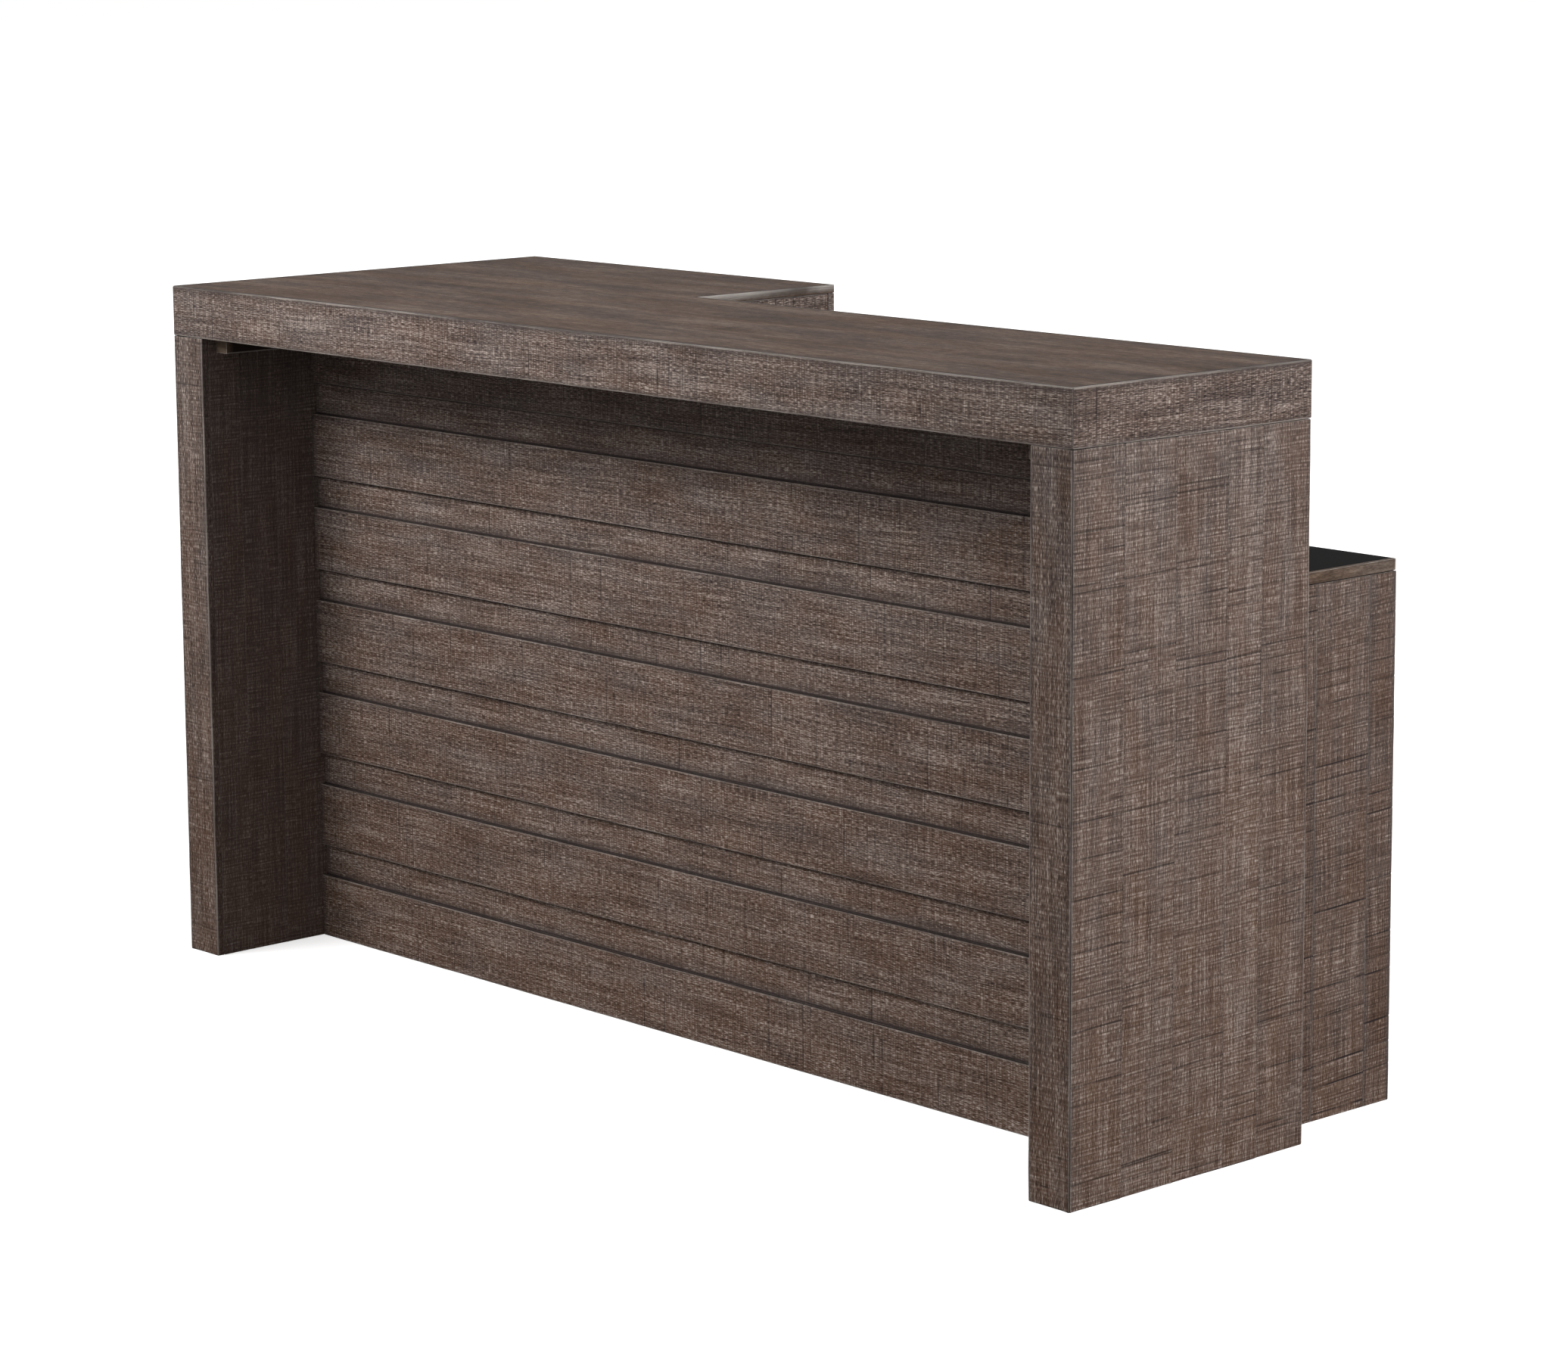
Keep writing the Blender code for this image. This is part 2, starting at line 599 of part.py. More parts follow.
def lattice_board(name, rising, thickness, span, bench):
    """One diagonal board of the wine lattice, from span[0] to span[1] in Y."""
    left, right = bays()[0]
    left, right = left + GAP, right - GAP
    low, high = FLOOR_TOP + GAP, DECK_TOP - BOARD - GAP
    outline = lattice_outline(right - left, high - low, thickness)
    points = [(left + u if rising else right - u, low + v) for u, v in outline]
    return loft(name, [[(x, y, z) for x, z in points] for y in span], CABINET_WOOD, bench)


def wine_lattice(bench):
    """Two crossed boards, half-lapped: one is slotted from the front, one from the back."""
    back, front = CAVITY_Y, COUNTER_DEPTH - LATTICE_SETBACK
    middle = (back + front) / 2
    wide = LATTICE_THICKNESS + 2 * GAP
    rising = lattice_board("wine_lattice_rising", True, LATTICE_THICKNESS, (back, front), bench)
    falling = lattice_board("wine_lattice_falling", False, LATTICE_THICKNESS, (back, front), bench)
    cut(rising, lattice_board("rising_slot", False, wide, (middle - GAP, front + BOARD), bench))
    cut(falling, lattice_board("falling_slot", True, wide, (back - BOARD, middle), bench))


def stem_section(flare):
    """The rack's comb in X and Z: a plate, a neck at each pitch and a flange under each neck."""
    centre = (COUNTER_LEFT + RIGHT_INNER) / 2
    half_flange = (STEM_PITCH - STEM_SLOT_WIDTH) / 2 - flare
    edge = (STEM_PITCH - STEM_SLOT_WIDTH) / 2
    under_plate = CARRIED - STEM_PLATE
    flange_top = under_plate - STEM_CHANNEL
    flange_bottom = flange_top - STEM_FLANGE
    first = centre - STEM_SLOTS * STEM_PITCH / 2
    outline = [(first - edge, CARRIED), (first - edge, under_plate)]
    for i in range(STEM_SLOTS + 1):
        x = first + i * STEM_PITCH
        outline += [(x - STEM_NECK / 2, under_plate), (x - STEM_NECK / 2, flange_top),
                    (x - half_flange, flange_top), (x - half_flange, flange_bottom),
                    (x + half_flange, flange_bottom), (x + half_flange, flange_top),
                    (x + STEM_NECK / 2, flange_top), (x + STEM_NECK / 2, under_plate)]
    last = first + STEM_SLOTS * STEM_PITCH
    return outline + [(last + edge, under_plate), (last + edge, CARRIED)]


def stemware_rack(bench):
    """Rails for glasses under the top, with slots that flare open at the bartender's side."""
    mouth = RUN_DEPTH - STEM_SETBACK
    stations = ((CAVITY_Y, 0.0), (mouth - STEM_FLARE_LENGTH, 0.0), (mouth, STEM_FLARE))
    rings = [[(x, y, z) for x, z in stem_section(flare)] for y, flare in stations]
    loft("stemware_rack", rings, CABINET_WOOD, bench)


def main():
    clear_scene()
    bench = carrier("bench", (-BAR_LENGTH / 2, -OVERALL_DEPTH / 2, 0.0))
    bar_top(bench)
    aprons(bench)
    end_panel("left_end", bench, 0.0, 1, WING_DEPTH)
    end_panel("right_end", bench, BAR_LENGTH, -1, RUN_DEPTH)
    planked_front(bench)
    cleats(bench)
    counter(bench)
    cabinet_boards(bench)
    decks(bench)
    wing_doors(bench)
    for number, (left, right) in enumerate(bays()[1:], start=1):
        drawer(number, bench, left, right)
    wine_lattice(bench)
    stemware_rack(bench)
    bpy.context.view_layer.update()


main()
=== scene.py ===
"""Finishes for a home bar: rough-sawn boards, a planed top, a black counter and steel fittings.

Lengths are metres. The solids come from the frame, and the wooden ones are replaced by boards
whose arrises are worn and whose faces carry the cuts of a band saw.
"""
import math
import zlib

import bpy
import numpy as np
from bpy.props import FloatProperty, FloatVectorProperty, PointerProperty
from bpy.types import Operator, Panel, PropertyGroup
from mathutils import Matrix, Vector


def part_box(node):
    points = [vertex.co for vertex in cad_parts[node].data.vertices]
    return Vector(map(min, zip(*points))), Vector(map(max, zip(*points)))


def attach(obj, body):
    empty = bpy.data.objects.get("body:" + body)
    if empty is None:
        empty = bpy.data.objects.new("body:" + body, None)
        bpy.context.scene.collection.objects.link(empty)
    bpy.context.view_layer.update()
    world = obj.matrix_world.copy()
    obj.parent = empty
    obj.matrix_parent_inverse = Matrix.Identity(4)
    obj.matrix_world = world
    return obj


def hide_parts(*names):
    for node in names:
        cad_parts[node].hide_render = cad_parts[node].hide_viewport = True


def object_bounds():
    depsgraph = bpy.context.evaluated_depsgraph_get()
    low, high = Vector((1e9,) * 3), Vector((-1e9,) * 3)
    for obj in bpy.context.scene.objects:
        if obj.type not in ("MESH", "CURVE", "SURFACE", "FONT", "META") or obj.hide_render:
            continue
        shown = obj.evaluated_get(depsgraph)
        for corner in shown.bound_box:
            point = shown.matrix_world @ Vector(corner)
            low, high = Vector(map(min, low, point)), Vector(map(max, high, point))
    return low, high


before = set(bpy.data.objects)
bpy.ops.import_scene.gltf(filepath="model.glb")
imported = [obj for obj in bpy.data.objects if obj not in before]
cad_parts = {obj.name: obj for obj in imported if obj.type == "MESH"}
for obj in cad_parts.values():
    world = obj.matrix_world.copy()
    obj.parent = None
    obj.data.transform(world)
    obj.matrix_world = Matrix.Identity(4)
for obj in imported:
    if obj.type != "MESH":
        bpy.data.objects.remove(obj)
CAD_BOX = [list(corner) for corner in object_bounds()]

bl_info = {
    "name": "Home bar finishes",
    "version": (1, 0, 0),
    "blender": (4, 5, 0),
    "location": "View3D > Sidebar > Home bar",
    "description": "Rough-sawn boards, planed top, black counter and steel fittings",
    "category": "Object",
}

GRAIN_MAP = "grain"
# Attribute of worn edge, saw cut, glaze with painted shade, and tone at each corner
FINISH = "finish"
X, Y, Z = 0, 1, 2
# Clearance where boards meet, and the rounding of an arris that doesn't show
GAP = 0.0003
# Pixels across the photograph, and millimetres across the camera's sensor
PHOTO_WIDTH = 2072
SENSOR_WIDTH = 36.0


def box(node):
    """Lowest and highest corner of a node as arrays."""
    low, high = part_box(node)
    return np.array(low, float), np.array(high, float)


LID_LOW, LID_HIGH = box("bar_top")
RUN_BACK = box("apron_right")[1][Y]
WING_RIGHT = box("apron_wing_back")[1][X]


def linear(hex_colour):
    """An sRGB hex colour as linear RGB."""
    channels = [int(hex_colour[i:i + 2], 16) / 255 for i in (1, 3, 5)]
    return tuple(c / 12.92 if c <= 0.04045 else ((c + 0.055) / 1.055) ** 2.4 for c in channels)


def rgba(hex_colour):
    """An sRGB hex colour as linear RGBA."""
    return (*linear(hex_colour), 1.0)


def colour(name, description, hex_colour):
    """A colour property whose default is written as sRGB."""
    return FloatVectorProperty(name=name, description=description, subtype="COLOR", size=3,
                               min=0.0, max=1.0, default=linear(hex_colour))


def length(name, description, metres):
    """A length property."""
    return FloatProperty(name=name, description=description, default=metres, unit="LENGTH")


def angle(name, description, radians):
    """An angle property."""
    return FloatProperty(name=name, description=description, default=radians, subtype="ANGLE")


def power(name, description, watts):
    """A lamp's power."""
    return FloatProperty(name=name, description=description, default=watts, unit="POWER")


def number(name, description, value):
    """A plain number property."""
    return FloatProperty(name=name, description=description, default=value)


class HomeBarBoards(PropertyGroup):
    """How the boards are shaped."""
    arris_radius: length("Arris radius", "Rounding of a rough board's long edges", 0.0013)
    fine_radius: length("Fine radius", "Rounding of a planed board's edges", 0.0008)
    joint_radius: length("Joint radius", "Rounding where two staves are glued", 0.0002)
    corner_radius: length("Corner radius", "Rounding beside an upright mitre", 0.0010)
    corner_chamfer: length("Corner chamfer", "Chamfer along an upright mitre", 0.0014)
    end_rounding: length("End rounding", "Rounding at a board's sawn end", 0.0007)
    head_rounding: length("Head rounding", "Rounding at the head of an end panel", 0.0016)
    door_joint: length("Door joint", "Rounding that makes the V between door staves", 0.0020)
    fold_chamfer: length("Fold chamfer", "Chamfer that the top and its aprons share", 0.0013)
    arris_wear: length("Arris wear", "Most that rubbing has taken off an arris", 0.0007)
    waviness: length("Waviness", "Most that a rough face lies below flat", 0.00025)
    cut_depth: length("Cut depth", "Depth of a strong saw cut", 0.0006)
    cut_width: length("Cut width", "Half width of a strong saw cut", 0.0016)
    cut_pitch: length("Cut pitch", "Mean distance between strong saw cuts", 0.032)
    stave_width: length("Stave width", "Mean width of a glued panel's staves", 0.084)
    ring_step: length("Ring step", "Distance between a board's rings", 0.012)
    point_step: length("Point step", "Distance between points across a board", 0.0065)
    cut_tilt: angle("Cut tilt", "Most that a saw cut leans", math.radians(1.2))


class HomeBarFittings(PropertyGroup):
    """Sizes of the pulls and screws."""
    pull_radius: length("Pull radius", "Radius of a pull's bar", 0.0040)
    pull_bend: length("Pull bend", "Radius of a pull's two bends", 0.0080)
    foot_flare: length("Foot flare", "How far a pull's feet spread", 0.0022)
    screw_radius: length("Screw radius", "Radius of a screw's head", 0.0032)
    screw_rise: length("Screw rise", "Height of a screw's head", 0.0009)
    box_wall: length("Box wall", "Thickness of a drawer box's sides", 0.0120)
    box_floor: length("Box floor", "Thickness of a drawer box's bottom", 0.0060)
    pin_radius: length("Pin radius", "Radius of a shelf pin", 0.0025)
    pin_length: length("Pin length", "How far a shelf pin stands out", 0.0080)


class HomeBarWood(PropertyGroup):
    """Colours of the finishes."""
    pore: colour("Pore", "Glaze in the deepest pores", "#211915")
    # The glaze and rim colours also paint shade in the front's reveals, under the apron and in
    # the knee space
    glaze: colour("Glaze", "Glaze in cuts and corners", "#272121")
    rim: colour("Rim", "Thinner glaze beside an arris", "#4d4442")
    warm_shade: colour("Warm shade", "Darker brown fibres", "#48362c")
    warm: colour("Warm", "Brown body of the rough wood", "#715a4d")
    cool_shade: colour("Cool shade", "Darker grey fibres", "#474040")
    cool: colour("Cool", "Grey body of the rough wood", "#726662")
    fleck: colour("Fleck", "Bare fibres that the brush has lifted", "#cabbb1")
    # The arris colour also paints the highlight along the top's fold
    arris: colour("Arris", "Worn edges", "#b5aba3")
    top_dark: colour("Top dark", "Dark grain of the planed top", "#2f251f")
    top_body: colour("Top body", "Body of the planed top", "#4f4039")
    top_light: colour("Top light", "Light grain of the planed top", "#716358")
    edge_dark: colour("Edge dark", "Dark grain of the counter's edge", "#493d36")
    edge_body: colour("Edge body", "Body of the counter's edge", "#64564d")
    edge_light: colour("Edge light", "Light grain of the counter's edge", "#83766b")
    inside_dark: colour("Inside dark", "Dark grain of the cabinet boards", "#352b25")
    inside_body: colour("Inside body", "Body of the cabinet boards", "#574a41")
    inside_light: colour("Inside light", "Light grain of the cabinet boards", "#7d6e62")
    raw_dark: colour("Raw dark", "Dark grain of the unfinished battens", "#4c4036")
    raw_body: colour("Raw body", "Body of the unfinished battens", "#6b5d50")
    raw_light: colour("Raw light", "Light grain of the unfinished battens", "#8b7b6b")
    laminate: colour("Laminate", "Black counter surface", "#1a1a1a")
    bronze: colour("Bronze", "Painted pulls", "#2e2a28")
    zinc: colour("Zinc", "Zinc plated steel", "#a2a5a8")


class HomeBarStage(PropertyGroup):
    """Camera, light and floor."""
    camera_place: FloatVectorProperty(name="Camera", description="Camera position",
                                      default=(4.83597, -4.36952, 1.73043),
                                      subtype="TRANSLATION", unit="LENGTH")
    pan: angle("Pan", "Turn of the view from +Y towards -X", 0.83191)
    tilt: angle("Tilt", "Dip of the view below the horizon", 0.16352)
    roll: angle("Roll", "Turn of the camera about its view", -0.00621)
    focal_pixels: number("Focal length", "Focal length in pixels of the photograph", 5838.8)
    shift_pixels: number("Shift", "Vertical shift in pixels of the photograph", -103.6)
    front_power: power("Front light", "Soft box before the front", 16.0)
    front_spread: angle("Front spread", "Angle that the front soft box's grid lets out",
                        math.radians(65))
    side_power: power("Side light", "Soft box beside the right end", 77.0)
    back_power: power("Back light", "Soft box at the bartender's side", 42.0)
    room_strength: number("Room light", "Even light of the room", 0.50)
    paper_glow: number("Paper glow", "Light that the camera sees in the near floor", 0.62)


def seed_of(name):
    """The same number for the same name in every run."""
    return zlib.crc32(name.encode()) % 100003


def scatter(i, j, seed):
    """Numbers from 0 to 1 at whole-number places.

    Both indices and the seed are multiplied by large odd numbers and added, and the sum's high
    bits are folded down twice.
    """
    mixed = (i * 374761393 + j * 668265263 + seed * 982451653) & 0xFFFFFFFF
    mixed = ((mixed ^ (mixed >> 13)) * 1274126177) & 0xFFFFFFFF
    return ((mixed ^ (mixed >> 16)) & 0xFFFFFF) / 0xFFFFFF


def smooth_noise(u, v, seed):
    """Value noise from -1 to 1: a lattice's random corners, blended by 3t^2 - 2t^3 each way."""
    u, v = np.broadcast_arrays(np.asarray(u, float), np.asarray(v, float))
    i, j = np.floor(u), np.floor(v)
    s, t = u - i, v - j
    s, t = s * s * (3 - 2 * s), t * t * (3 - 2 * t)
    i, j = i.astype(np.int64), j.astype(np.int64)
    low = scatter(i, j, seed) * (1 - s) + scatter(i + 1, j, seed) * s
    high = scatter(i, j + 1, seed) * (1 - s) + scatter(i + 1, j + 1, seed) * s
    return 2 * (low * (1 - t) + high * t) - 1


# Parts of the arc at a corner of an outline, and of the quarter round at a board's end
ARC_STEPS = 3
END_STEPS = 3
# Distance from an arris to the first point on a flat side, which bounds the rim of glaze
MARGIN = 0.0016
# A step longer than any side, for sides that aren't divided
WHOLE = 10.0


def others(axis):
    """The two axes square to one."""
    return [k for k in (X, Y, Z) if k != axis]


def directions(corners):
    """Unit vectors along the sides that come into each corner and that leave it."""
    incoming = corners - np.roll(corners, 1, 0)
    incoming /= np.linalg.norm(incoming, axis=1, keepdims=True)
    return incoming, np.roll(incoming, -1, 0)


def rounded(corners, radii, steps, full_radius, marks=()):
    """A closed counter-clockwise outline with an arc tangent to both sides at each corner.

    A corner's arc has its centre at one radius from both sides. Side k is divided into equal
    parts of about steps[k], with a point MARGIN from each end, and upright sides also get a
    point at each mark. Returns the points, their outward normals, how much of a full arris
    each one is, and how near it lies to one.
    """
    corners = np.asarray(corners, float)
    radii = np.broadcast_to(np.asarray(radii, float), len(corners))
    steps = np.broadcast_to(np.asarray(steps, float), len(corners))
    incoming, outgoing = directions(corners)
    turn = np.arctan2(incoming[:, 0] * outgoing[:, 1] - incoming[:, 1] * outgoing[:, 0],
                      (incoming * outgoing).sum(1))
    reach = radii * np.tan(np.abs(turn) / 2)
    begins, ends = corners - incoming * reach[:, None], corners + outgoing * reach[:, None]
    points, normals, arcs, rims = [], [], [], []
    full = np.minimum(1.0, radii / full_radius)
    for k in range(len(corners)):
        sweep = turn[k] * np.linspace(0, 1, ARC_STEPS + 1)
        out = np.array([incoming[k, 1], -incoming[k, 0]])
        spin = np.stack([out[0] * np.cos(sweep) - out[1] * np.sin(sweep),
                         out[0] * np.sin(sweep) + out[1] * np.cos(sweep)], 1)
        side = radii[k] * (1 if turn[k] > 0 else -1)
        points.append(begins[k] - out * side + spin * side)
        normals.append(spin)
        arcs.append(np.full(ARC_STEPS + 1, full[k]))
        rims.append(arcs[-1])
        after = (k + 1) % len(corners)
        run = begins[after] - ends[k]
        span = np.linalg.norm(run)
        share = np.array([0.5])
        if span >= 3 * MARGIN:
            count = max(2, int(round((span - 2 * MARGIN) / steps[k])) + 1)
            share = np.linspace(MARGIN, span - MARGIN, count) / span
        if len(marks) and abs(run[1]) > abs(run[0]):
            extra = (np.asarray(marks) - ends[k][1]) / run[1]
            share = np.unique(np.append(share, extra[(extra > 0) & (extra < 1)]))
        near = np.zeros(len(share))
        if span >= 3 * MARGIN:
            near[0], near[-1] = full[k], full[after]
        rims.append(near)
        points.append(ends[k] + run * share[:, None])
        normals.append(np.tile([outgoing[k, 1], -outgoing[k, 0]], (len(share), 1)))
        arcs.append(np.zeros(len(share)))
    return tuple(np.concatenate(part) for part in (points, normals, arcs, rims))


class Shell:
    """One closed surface: rings of points with a flat face over the first and the last."""

    def __init__(self, rings, grain, finish, cap_finish, turned=False):
        count, size = rings.shape[:2]
        index = np.arange(count * size).reshape(count, size)
        after = np.roll(index, -1, 1)
        quads = np.stack([index[:-1], after[:-1], after[1:], index[1:]], -1).reshape(-1, 4)
        low, high = grain[:-1], grain[1:]
        quad_grain = np.stack([low[:, :-1], low[:, 1:], high[:, 1:], high[:, :-1]], -2)
        self.points = rings.reshape(-1, 3)
        self.faces = [quads.ravel(), index[0][::-1], index[-1]]
        self.sizes = [np.full(len(quads), 4), np.array([size]), np.array([size])]
        self.grain = [quad_grain.reshape(-1, 2), self.cap_grain(rings[0], grain[0, 0])[::-1],
                      self.cap_grain(rings[-1], grain[-1, 0])]
        if turned:
            self.grain = [block[:, ::-1] for block in self.grain]
        flat = finish.reshape(-1, 4)
        cap = np.tile(cap_finish, (size, 1))
        self.finish = [flat[quads.ravel()], cap, cap]
        if self.volume(quads, index) < 0:
            for part in ("faces", "grain", "finish"):
                setattr(self, part, self.flipped(getattr(self, part)))

    @staticmethod
    def cap_grain(ring, start):
        """A cap's map: the two directions in which the ring is widest."""
        wide = np.sort(np.argsort(np.ptp(ring, axis=0))[1:])
        return start + ring[:, wide] - ring[0, wide]

    def volume(self, quads, index):
        """Six times the enclosed volume: the sum of a . (b x c) over the triangles."""
        p = self.points - self.points.mean(0)
        result = 0.0
        for a, b, c in ((0, 1, 2), (0, 2, 3)):
            result += (p[quads[:, a]] * np.cross(p[quads[:, b]], p[quads[:, c]])).sum()
        for ring in (index[0][::-1], index[-1]):
            result += (p[ring[0]] * np.cross(p[ring[1:-1]], p[ring[2:]])).sum()
        return result

    def flipped(self, blocks):
        """The same corner values with each face's order turned round."""
        out = []
        for block, sizes in zip(blocks, self.sizes):
            shape = (len(sizes), sizes[0]) + block.shape[1:]
            out.append(block.reshape(shape)[:, ::-1].reshape(block.shape))
        return out


SHARP_ANGLE = math.radians(38)


def show(name, data):
    """Puts a mesh, a lamp or a camera into the scene."""
    obj = bpy.data.objects.new(name, data)
    bpy.context.scene.collection.objects.link(obj)
    return obj


def piece(name, shells, paint, *nodes, body="carcass", slot=None):
    """One object from its shells, in the place of the nodes that it stands for."""
    offsets = np.cumsum([0] + [len(s.points) for s in shells[:-1]])
    points = np.concatenate([s.points for s in shells])
    corners = np.concatenate([f + o for s, o in zip(shells, offsets) for f in s.faces])
    sizes, grain, finish = (np.concatenate([block for s in shells for block in getattr(s, part)])
                            for part in ("sizes", "grain", "finish"))
    starts = np.concatenate([[0], np.cumsum(sizes)[:-1]])
    mesh = bpy.data.meshes.new(name)
    mesh.vertices.add(len(points))
    mesh.vertices.foreach_set("co", points.astype(np.float32).ravel())
    mesh.loops.add(len(corners))
    mesh.loops.foreach_set("vertex_index", corners.astype(np.int32))
    mesh.polygons.add(len(sizes))
    mesh.polygons.foreach_set("loop_start", starts.astype(np.int32))
    mesh.update(calc_edges=True)
    layer = mesh.uv_layers.new(name=GRAIN_MAP)
    layer.uv.foreach_set("vector", grain.astype(np.float32).ravel())
    worn = mesh.attributes.new(FINISH, "FLOAT_COLOR", "CORNER")
    worn.data.foreach_set("color", finish.astype(np.float32).ravel())
    mesh.shade_smooth()
    mesh.set_sharp_from_angle(angle=SHARP_ANGLE)
    mesh.materials.append(material(paint))
    obj = show(name, mesh)
    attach(obj, body)
    if nodes:
        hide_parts(*nodes)


# Ranges of the gaps between strong saw cuts, in pitches, and of the strength of a cut
CUT_GAPS, CUT_STRENGTHS = (0.3, 1.7), (0.15, 0.7)
# Least distance in cut widths between a cut and the next even ring
CUT_CLEARANCE = 1.7
# Length of a cut's unbroken parts, and the distance along a board at which they shift
CUT_LENGTH, CUT_SHIFT = 0.03, 0.009
# Length and width of the places where an arris is rubbed, and of a board's low waves
RUB_LENGTH, RUB_WIDTH = 0.045, 0.02
WAVE_LENGTH, WAVE_WIDTH = 0.11, 0.05
# Wear of a planed arris, as a share of a rough one's
FINE_WEAR = 0.3
# Distance from a board's ends in which the saw's tilt fades out
TILT_FADE = 0.04
# Size of the patch of wood from which each board's map is drawn
MAP_SPREAD = 40
# Glaze on a board's sawn end
CAP_STAIN = 0.15
# Ranges of a stave's width, and of the lean of a panel's cuts and of a stave's, as shares
STAVE_WIDTHS, PANEL_LEANS, STAVE_LEANS = (0.8, 1.2), (0.5, 1.0), (0.7, 1.3)
def saw_cuts(name, span, pitch):
    """Places of the strong saw cuts along a board, each with its strength."""
    rng = np.random.default_rng(seed_of(name))
    places = np.cumsum(rng.uniform(*CUT_GAPS, int(2 * span / pitch))) * pitch
    return places, rng.uniform(*CUT_STRENGTHS, len(places))


def stations(span, round_end, step, places, strength, cut_width):
    """A board's rings: how far along each one is, how far it is drawn in, how deep it is cut.

    The ends are quarter rounds. A cut has four rings, and the middle two are deep.
    """
    quarter = np.linspace(0, math.pi / 2, END_STEPS + 1)
    rise, inset = round_end * (1 - np.cos(quarter)), round_end * (1 - np.sin(quarter))
    even = np.linspace(round_end, span - round_end, max(3, int(span / step)))[1:-1]
    if len(places):
        clear = np.abs(even[:, None] - places[None]).min(1) > CUT_CLEARANCE * cut_width
        even = even[clear]
    flat = np.zeros(END_STEPS + 1)
    rows = [(rise, inset, flat), (even, 0 * even, 0 * even)]
    rows += [(places + side * cut_width, 0 * places, deep * strength)
             for side, deep in ((-1, 0), (-0.5, 1), (0.5, 1), (1, 0))]
    rows.append((span - rise[::-1], inset[::-1], flat))
    along, drawn, cut = (np.concatenate(part) for part in zip(*rows))
    order = np.argsort(along, kind="stable")
    return [column[order][:, None] for column in (along, drawn, cut)]


def board(name, corners, axis, start, end, look, radii=None, steps=None, rough=True,
          glaze=None, sawn=None, tilt=0.0, cuts=None, end_radius=None, ring_step=None,
          turned=False, tone=None, marks=(), rim=0.3, whole=0.35, bare=None):
    """One board: a rounded outline carried along an axis from start to end.

    Ring t, point p lies at start(p) + t (end(p) - start(p)) along the axis, plus the tangent
    of the saw's tilt times the point's distance from the middle, which fades out at both ends.
    Each point is drawn in along its normal by the end's quarter round, the wear of the arris, a
    low wave and the depth of a saw cut.

    sawn says which points of the outline the saw has marked, and whole how unbroken its cuts
    are. glaze and bare give the pooled glaze, with painted shade where a caller adds it, and the
    rubbed wood at each point, rim the stain beside an arris, and tone the board's shade, which is
    drawn from its name if none is given.
    """
    seed = seed_of(name)
    rng = np.random.default_rng(seed)
    radius = look.arris_radius if rough else look.fine_radius
    points, normals, arc, beside = rounded(
        corners, radius if radii is None else radii,
        look.point_step if steps is None else steps, radius, marks)
    begin = start(points) if callable(start) else np.full(len(points), float(start))
    reach = (end(points) if callable(end) else np.full(len(points), float(end))) - begin
    span = float(reach.mean())
    round_end = 0.85 * radius if end_radius is None else end_radius
    places, strength = cuts or saw_cuts(name + "_cuts", span, look.cut_pitch)
    margin = 3 * look.cut_width + round_end
    keep = (places > margin) & (places < span - margin) & rough
    along, drawn, cut = stations(span, round_end, ring_step or look.ring_step, places[keep],
                                 strength[keep], look.cut_width)
    around = np.concatenate([[0], np.cumsum(np.linalg.norm(np.diff(points, axis=0), axis=1))])
    close = around[-1] + np.linalg.norm(points[0] - points[-1])
    kept = np.ones(len(points)) if sawn is None else sawn(points)
    ragged = smooth_noise(around[None] / CUT_LENGTH, along / CUT_SHIFT, seed + 1)
    cut = cut * np.clip(whole + 0.8 * ragged, 0, 1) * kept
    rub = 0.5 + 0.5 * smooth_noise(along / RUB_LENGTH, around[None] / RUB_WIDTH, seed + 2)
    wave = 0.5 + 0.5 * smooth_noise(along / WAVE_LENGTH, around[None] / WAVE_WIDTH, seed + 3)
    wear = look.arris_wear * (1.0 if rough else FINE_WEAR)
    waviness = look.waviness * kept if rough else 0.0
    inward = drawn + cut * look.cut_depth + arc * rub * wear + waviness * wave * (1 - arc)
    spread = np.clip(points[None] - normals[None] * inward[..., None], points.min(0),
                     points.max(0))
    lean = math.tan(tilt) * (points - points.mean(0)).sum(1)
    window = np.clip(along / TILT_FADE, 0, 1) * np.clip((span - along) / TILT_FADE, 0, 1)
    rings = np.empty(spread.shape[:2] + (3,))
    rings[..., axis] = begin[None] + reach[None] * (along / span) + lean[None] * window
    rings[..., others(axis)] = spread
    offset = rng.uniform(0, MAP_SPREAD, 2)
    lift = 0.5 + 0.5 * (rng.uniform(-1, 1) if tone is None else tone)
    grain = np.empty((len(along), len(points) + 1, 2))
    grain[..., 0] = along + offset[0]
    grain[..., 1] = np.append(around, close) + offset[1]
    edge = np.maximum(arc, 1.0 * (drawn > 0.2 * round_end) * (round_end > 2 * GAP))
    tip = (drawn > 0.05 * round_end) * min(1.0, round_end / look.end_rounding)
    stain = rim * np.maximum(beside, tip) * (0.5 + 0.5 * wave) * rough
    if glaze is not None:
        stain = np.maximum(stain, glaze(rings))
    worn = edge * (0.35 + 0.65 * rub)
    if bare is not None:
        worn = np.maximum(worn, bare(rings))
    finish = np.stack([worn, cut, stain, np.full_like(edge, lift)], -1)
    return Shell(rings, grain, finish, (0.0, 0.0, CAP_STAIN, lift), turned)


def rectangle(low, high, axis):
    """The counter-clockwise outline of a box across an axis."""
    a, b = others(axis)
    return [(low[a], low[b]), (high[a], low[b]), (high[a], high[b]), (low[a], high[b])]


def fade(distance, reach, start=1.0):
    """Falls from start by 1 over each reach of distance, and stays from 0 to 1."""
    return np.clip(start - distance / reach, 0, 1)


def from_side(low, high, way, distance):
    """A place at a distance from the low side of a span, or if way is -1 from the high one."""
    return low + distance if way > 0 else high - distance


def box_board(node, axis, look, **options):
    """A board that fills a straight node."""
    low, high = box(node)
    return board(node, rectangle(low, high, axis), axis, low[axis], high[axis], look, **options)


